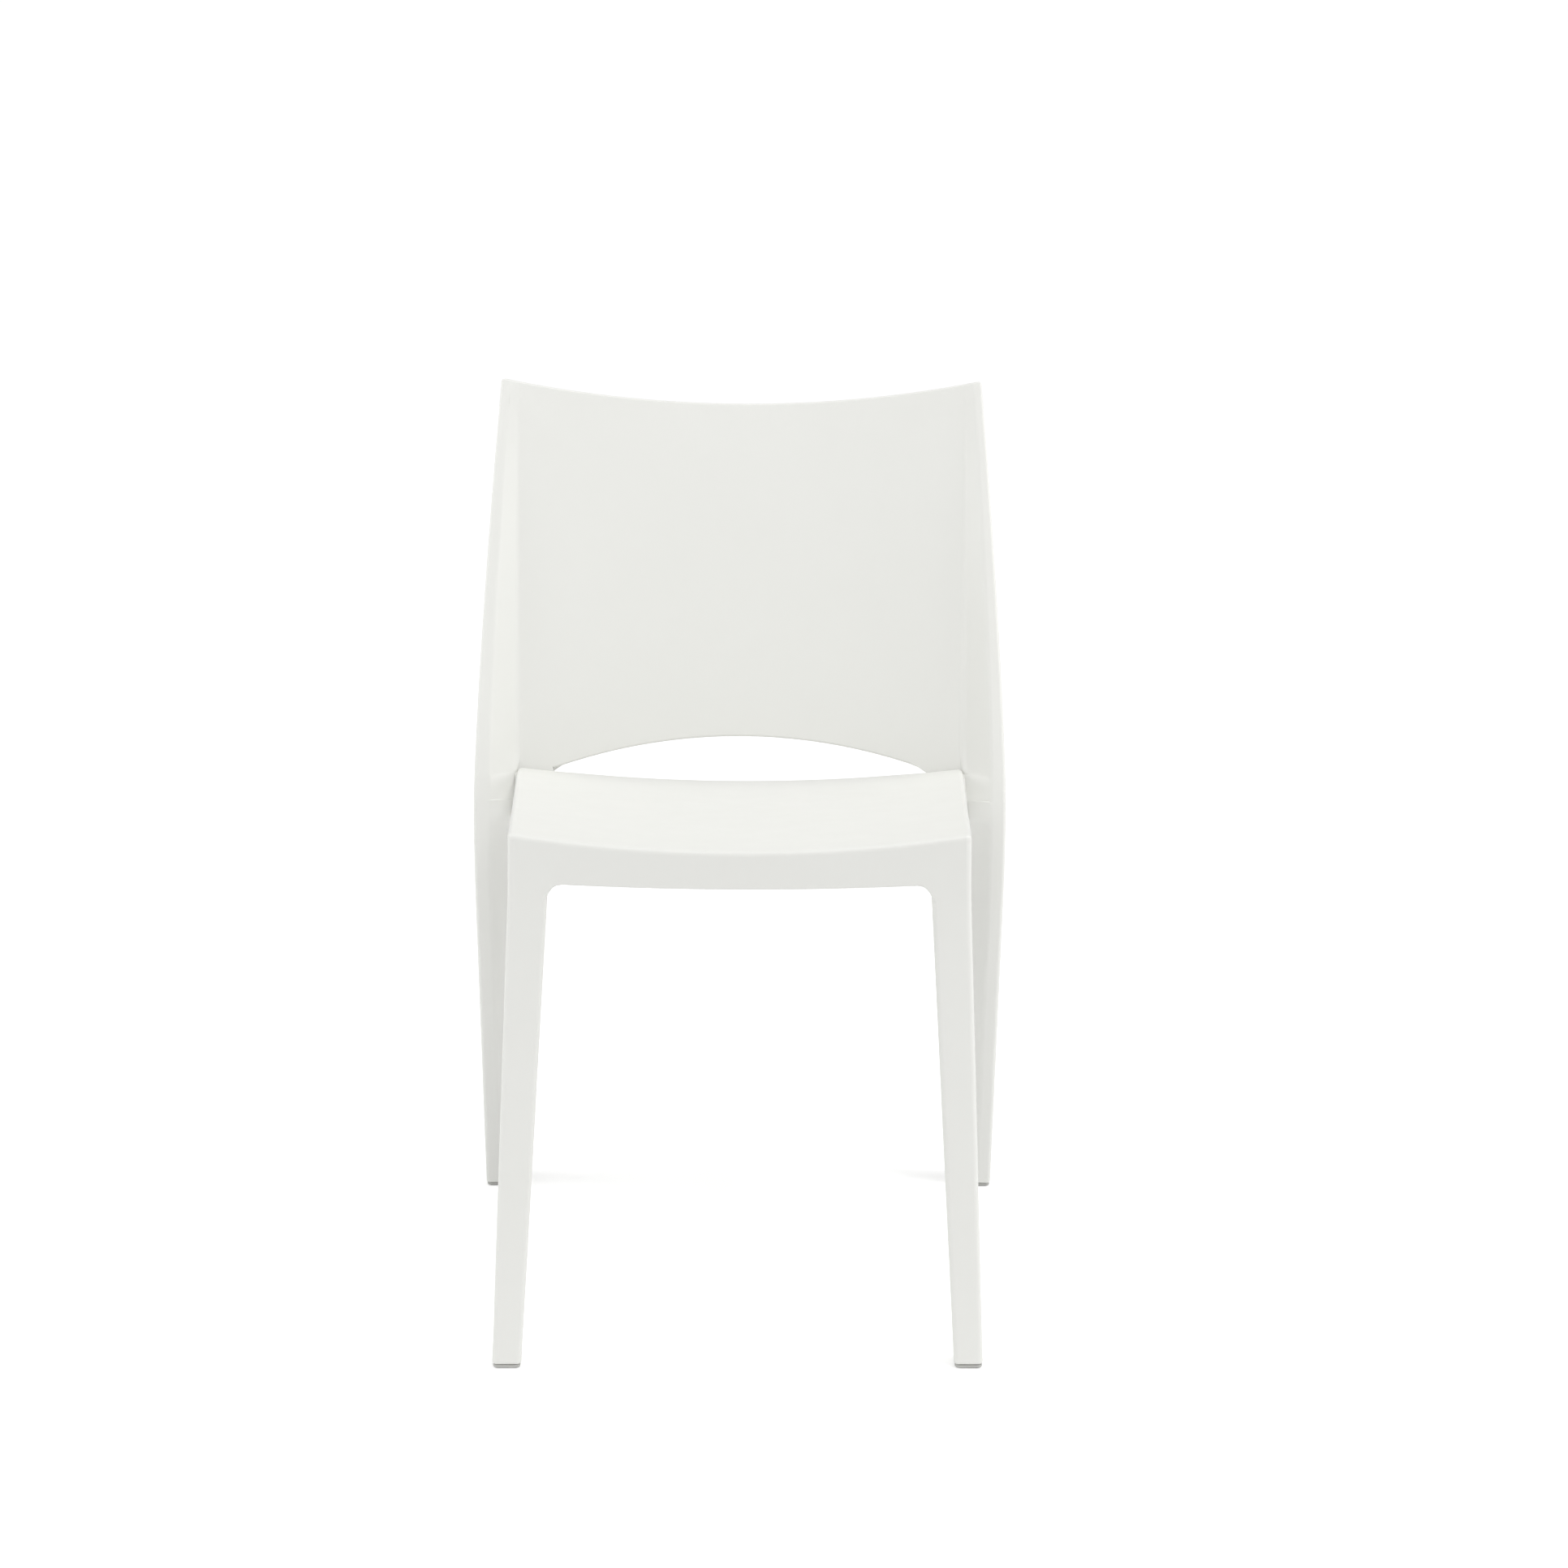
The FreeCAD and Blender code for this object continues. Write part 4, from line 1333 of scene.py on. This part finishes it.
SHELL_WHITE = Finish(
    "shell_plastic",
    (0.806, 0.808, 0.777),
    (0.798, 0.800, 0.768),
    0.36,
    0.46,
    dust=0.03,
    rubbed=0.12,
    bump=0.10,
)
GLIDE_GREY = Finish(
    "glide_plastic", (0.50, 0.50, 0.475), (0.45, 0.45, 0.43), 0.45, 0.6, rubbed=0.4, bump=0.3
)
BUFFER_GREY = Finish(
    "buffer_rubber", (0.40, 0.40, 0.38), (0.36, 0.36, 0.345), 0.62, 0.78, Texture.SOFT_PORES, bump=0.35
)
SCREW_ZINC = Finish(
    "screw_steel",
    (0.62, 0.63, 0.65),
    (0.52, 0.53, 0.56),
    0.26,
    0.42,
    Texture.SMOOTH,
    metallic=1.0,
    rubbed=0.5,
)
INSERT_BRASS = Finish(
    "insert_brass", (0.72, 0.54, 0.25), (0.62, 0.45, 0.20), 0.24, 0.38, Texture.TURNED, metallic=1.0, bump=0.3
)
CAP_WHITE = Finish(
    "cap_plastic", (0.66, 0.665, 0.64), (0.64, 0.648, 0.618), 0.38, 0.46, rubbed=0.3, bump=0.12
)
FLOOR_WHITE = Finish("floor", (0.97, 0.97, 0.97), (0.965, 0.965, 0.965), 0.85, 0.95, bump=0.02)


@dataclass(frozen=True)
class SoftSun:
    """A far, broad light that falls evenly on the chair and on the whole floor."""

    name: str
    towards: tuple[float, float, float]
    strength: float
    spread: float

    def build(self) -> None:
        """Builds the light."""
        bpy.ops.object.light_add(type="SUN", location=self.towards)
        light = bpy.context.active_object
        light.name = self.name
        light.data.energy = self.strength
        light.data.angle = math.radians(self.spread)
        light.rotation_euler = (-Vector(self.towards)).to_track_quat("-Z", "Y").to_euler()


@dataclass(frozen=True)
class SoftBox:
    """A square soft box that looks at the chair."""

    name: str
    place: tuple[float, float, float]
    energy: float
    size: float

    def build(self) -> None:
        """Builds the light."""
        bpy.ops.object.light_add(type="AREA", location=self.place)
        light = bpy.context.active_object
        light.name = self.name
        light.data.energy = self.energy
        light.data.size = self.size
        aim = Vector((0.0, 0.0, 0.5)) - Vector(self.place)
        light.rotation_euler = aim.to_track_quat("-Z", "Y").to_euler()


@dataclass
class Studio:
    """The floor, the lights and the camera."""

    eye: tuple[float, float, float] = (0.0007, -2.3457, 0.8564)
    turned: float = 0.955
    tilted: float = 9.719
    rolled: float = 0.396
    lens: float = 60.0
    surround: float = 0.60
    backdrop: float = 1.02
    floor_glow: float = 0.26
    suns: tuple[SoftSun, ...] = (
        SoftSun("key", (0.50, -0.45, 1.20), 0.88, 12.0),
        SoftSun("fill", (-0.50, -0.45, 1.10), 0.34, 40.0),
    )
    soft_boxes: tuple[SoftBox, ...] = (
        SoftBox("left_box", (-1.70, -0.12, 1.40), 7.8, 1.0),
        SoftBox("right_box", (1.70, -0.12, 1.40), 8.8, 1.0),
    )

    def build_floor(self, groups: EffectGroups) -> None:
        """Builds a wide pale floor, which looks lighter than it lights.

        Args:
            groups: The shared shader groups.
        """
        bpy.ops.object.select_all(action="DESELECT")
        bpy.ops.mesh.primitive_plane_add(size=60.0)
        floor = bpy.context.active_object
        floor.name = "floor"
        material = FLOOR_WHITE.build(groups)
        shader = material.node_tree.nodes["Principled BSDF"]
        shader.inputs["Emission Color"].default_value = (1.0, 1.0, 1.0, 1.0)
        path = material.node_tree.nodes.new("ShaderNodeLightPath")
        glow = material.node_tree.nodes.new("ShaderNodeMath")
        glow.operation = "MULTIPLY"
        glow.inputs[1].default_value = self.floor_glow
        material.node_tree.links.new(path.outputs["Is Camera Ray"], glow.inputs[0])
        material.node_tree.links.new(glow.outputs[0], shader.inputs["Emission Strength"])
        floor.data.materials.append(material)

    def build_lights(self) -> None:
        """Builds an even white surround, the suns and the soft boxes."""
        scene = bpy.context.scene
        scene.view_settings.view_transform = "Standard"
        world = bpy.data.worlds.new("studio")
        scene.world = world
        world.use_nodes = True
        nodes, links = world.node_tree.nodes, world.node_tree.links
        light = nodes["Background"]
        light.inputs["Color"].default_value = (1.0, 1.0, 1.0, 1.0)
        light.inputs["Strength"].default_value = self.surround
        seen = nodes.new("ShaderNodeBackground")
        seen.inputs["Color"].default_value = (1.0, 1.0, 1.0, 1.0)
        seen.inputs["Strength"].default_value = self.backdrop
        path = nodes.new("ShaderNodeLightPath")
        choice = nodes.new("ShaderNodeMixShader")
        links.new(path.outputs["Is Camera Ray"], choice.inputs[0])
        links.new(light.outputs["Background"], choice.inputs[1])
        links.new(seen.outputs["Background"], choice.inputs[2])
        links.new(choice.outputs["Shader"], nodes["World Output"].inputs["Surface"])
        for light_source in (*self.suns, *self.soft_boxes):
            light_source.build()

    def build_camera(self) -> None:
        """Builds the camera and makes it the scene's own."""
        camera = bpy.data.objects.new("camera", bpy.data.cameras.new("camera"))
        bpy.context.scene.collection.objects.link(camera)
        camera.data.lens = self.lens
        camera.data.sensor_width = 36.0
        camera.location = self.eye
        turned, tilted = math.radians(self.turned), math.radians(self.tilted)
        flat = math.cos(tilted)
        look = Vector((math.sin(turned) * flat, math.cos(turned) * flat, -math.sin(tilted)))
        roll = Quaternion((0.0, 0.0, 1.0), math.radians(self.rolled))
        camera.rotation_mode = "QUATERNION"
        camera.rotation_quaternion = look.to_track_quat("-Z", "Y") @ roll
        bpy.context.scene.camera = camera

    def build(self, groups: EffectGroups) -> None:
        """Builds the studio.

        Args:
            groups: The shared shader groups.
        """
        self.build_floor(groups)
        self.build_lights()
        self.build_camera()


@dataclass(frozen=True)
class SmallParts:
    """The glides, the buffers and the fasteners, which keep their nodes of the frame."""

    finishes: tuple[tuple[str, Finish], ...] = (
        ("glide", GLIDE_GREY),
        ("buffer", BUFFER_GREY),
        ("seat_screws", SCREW_ZINC),
        ("washers", SCREW_ZINC),
        ("inserts", INSERT_BRASS),
        ("caps", CAP_WHITE),
    )

    def dress(self, groups: EffectGroups) -> None:
        """Gives every small part the finish that its name asks for.

        Args:
            groups: The shared shader groups.
        """
        built: dict[str, bpy.types.Material] = {}
        for name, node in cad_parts.items():
            for word, finish in self.finishes:
                if word not in name:
                    continue
                if finish.name not in built:
                    built[finish.name] = finish.build(groups)
                node.data.materials.clear()
                node.data.materials.append(built[finish.name])
                LOG.info("%s: %s", name, finish.name)


def main() -> None:
    """Builds the chair's pieces in order, then the studio."""
    logging.basicConfig(level=logging.INFO, format="%(name)s: %(message)s")
    groups = EffectGroups()
    lines = ChairLines.from_frame()
    shell = SHELL_WHITE.build(groups)
    mouldings = {"back_frame": BackFrame(lines), "seat_frame": SeatFrame(lines)}
    for node, moulding in mouldings.items():
        piece = moulding.build()
        moulding.dress(piece, node, shell)
        LOG.info("%s: %d faces", piece.name, len(piece.data.polygons))
    SmallParts().dress(groups)
    Studio().build(groups)


if __name__ == "__main__":
    main()
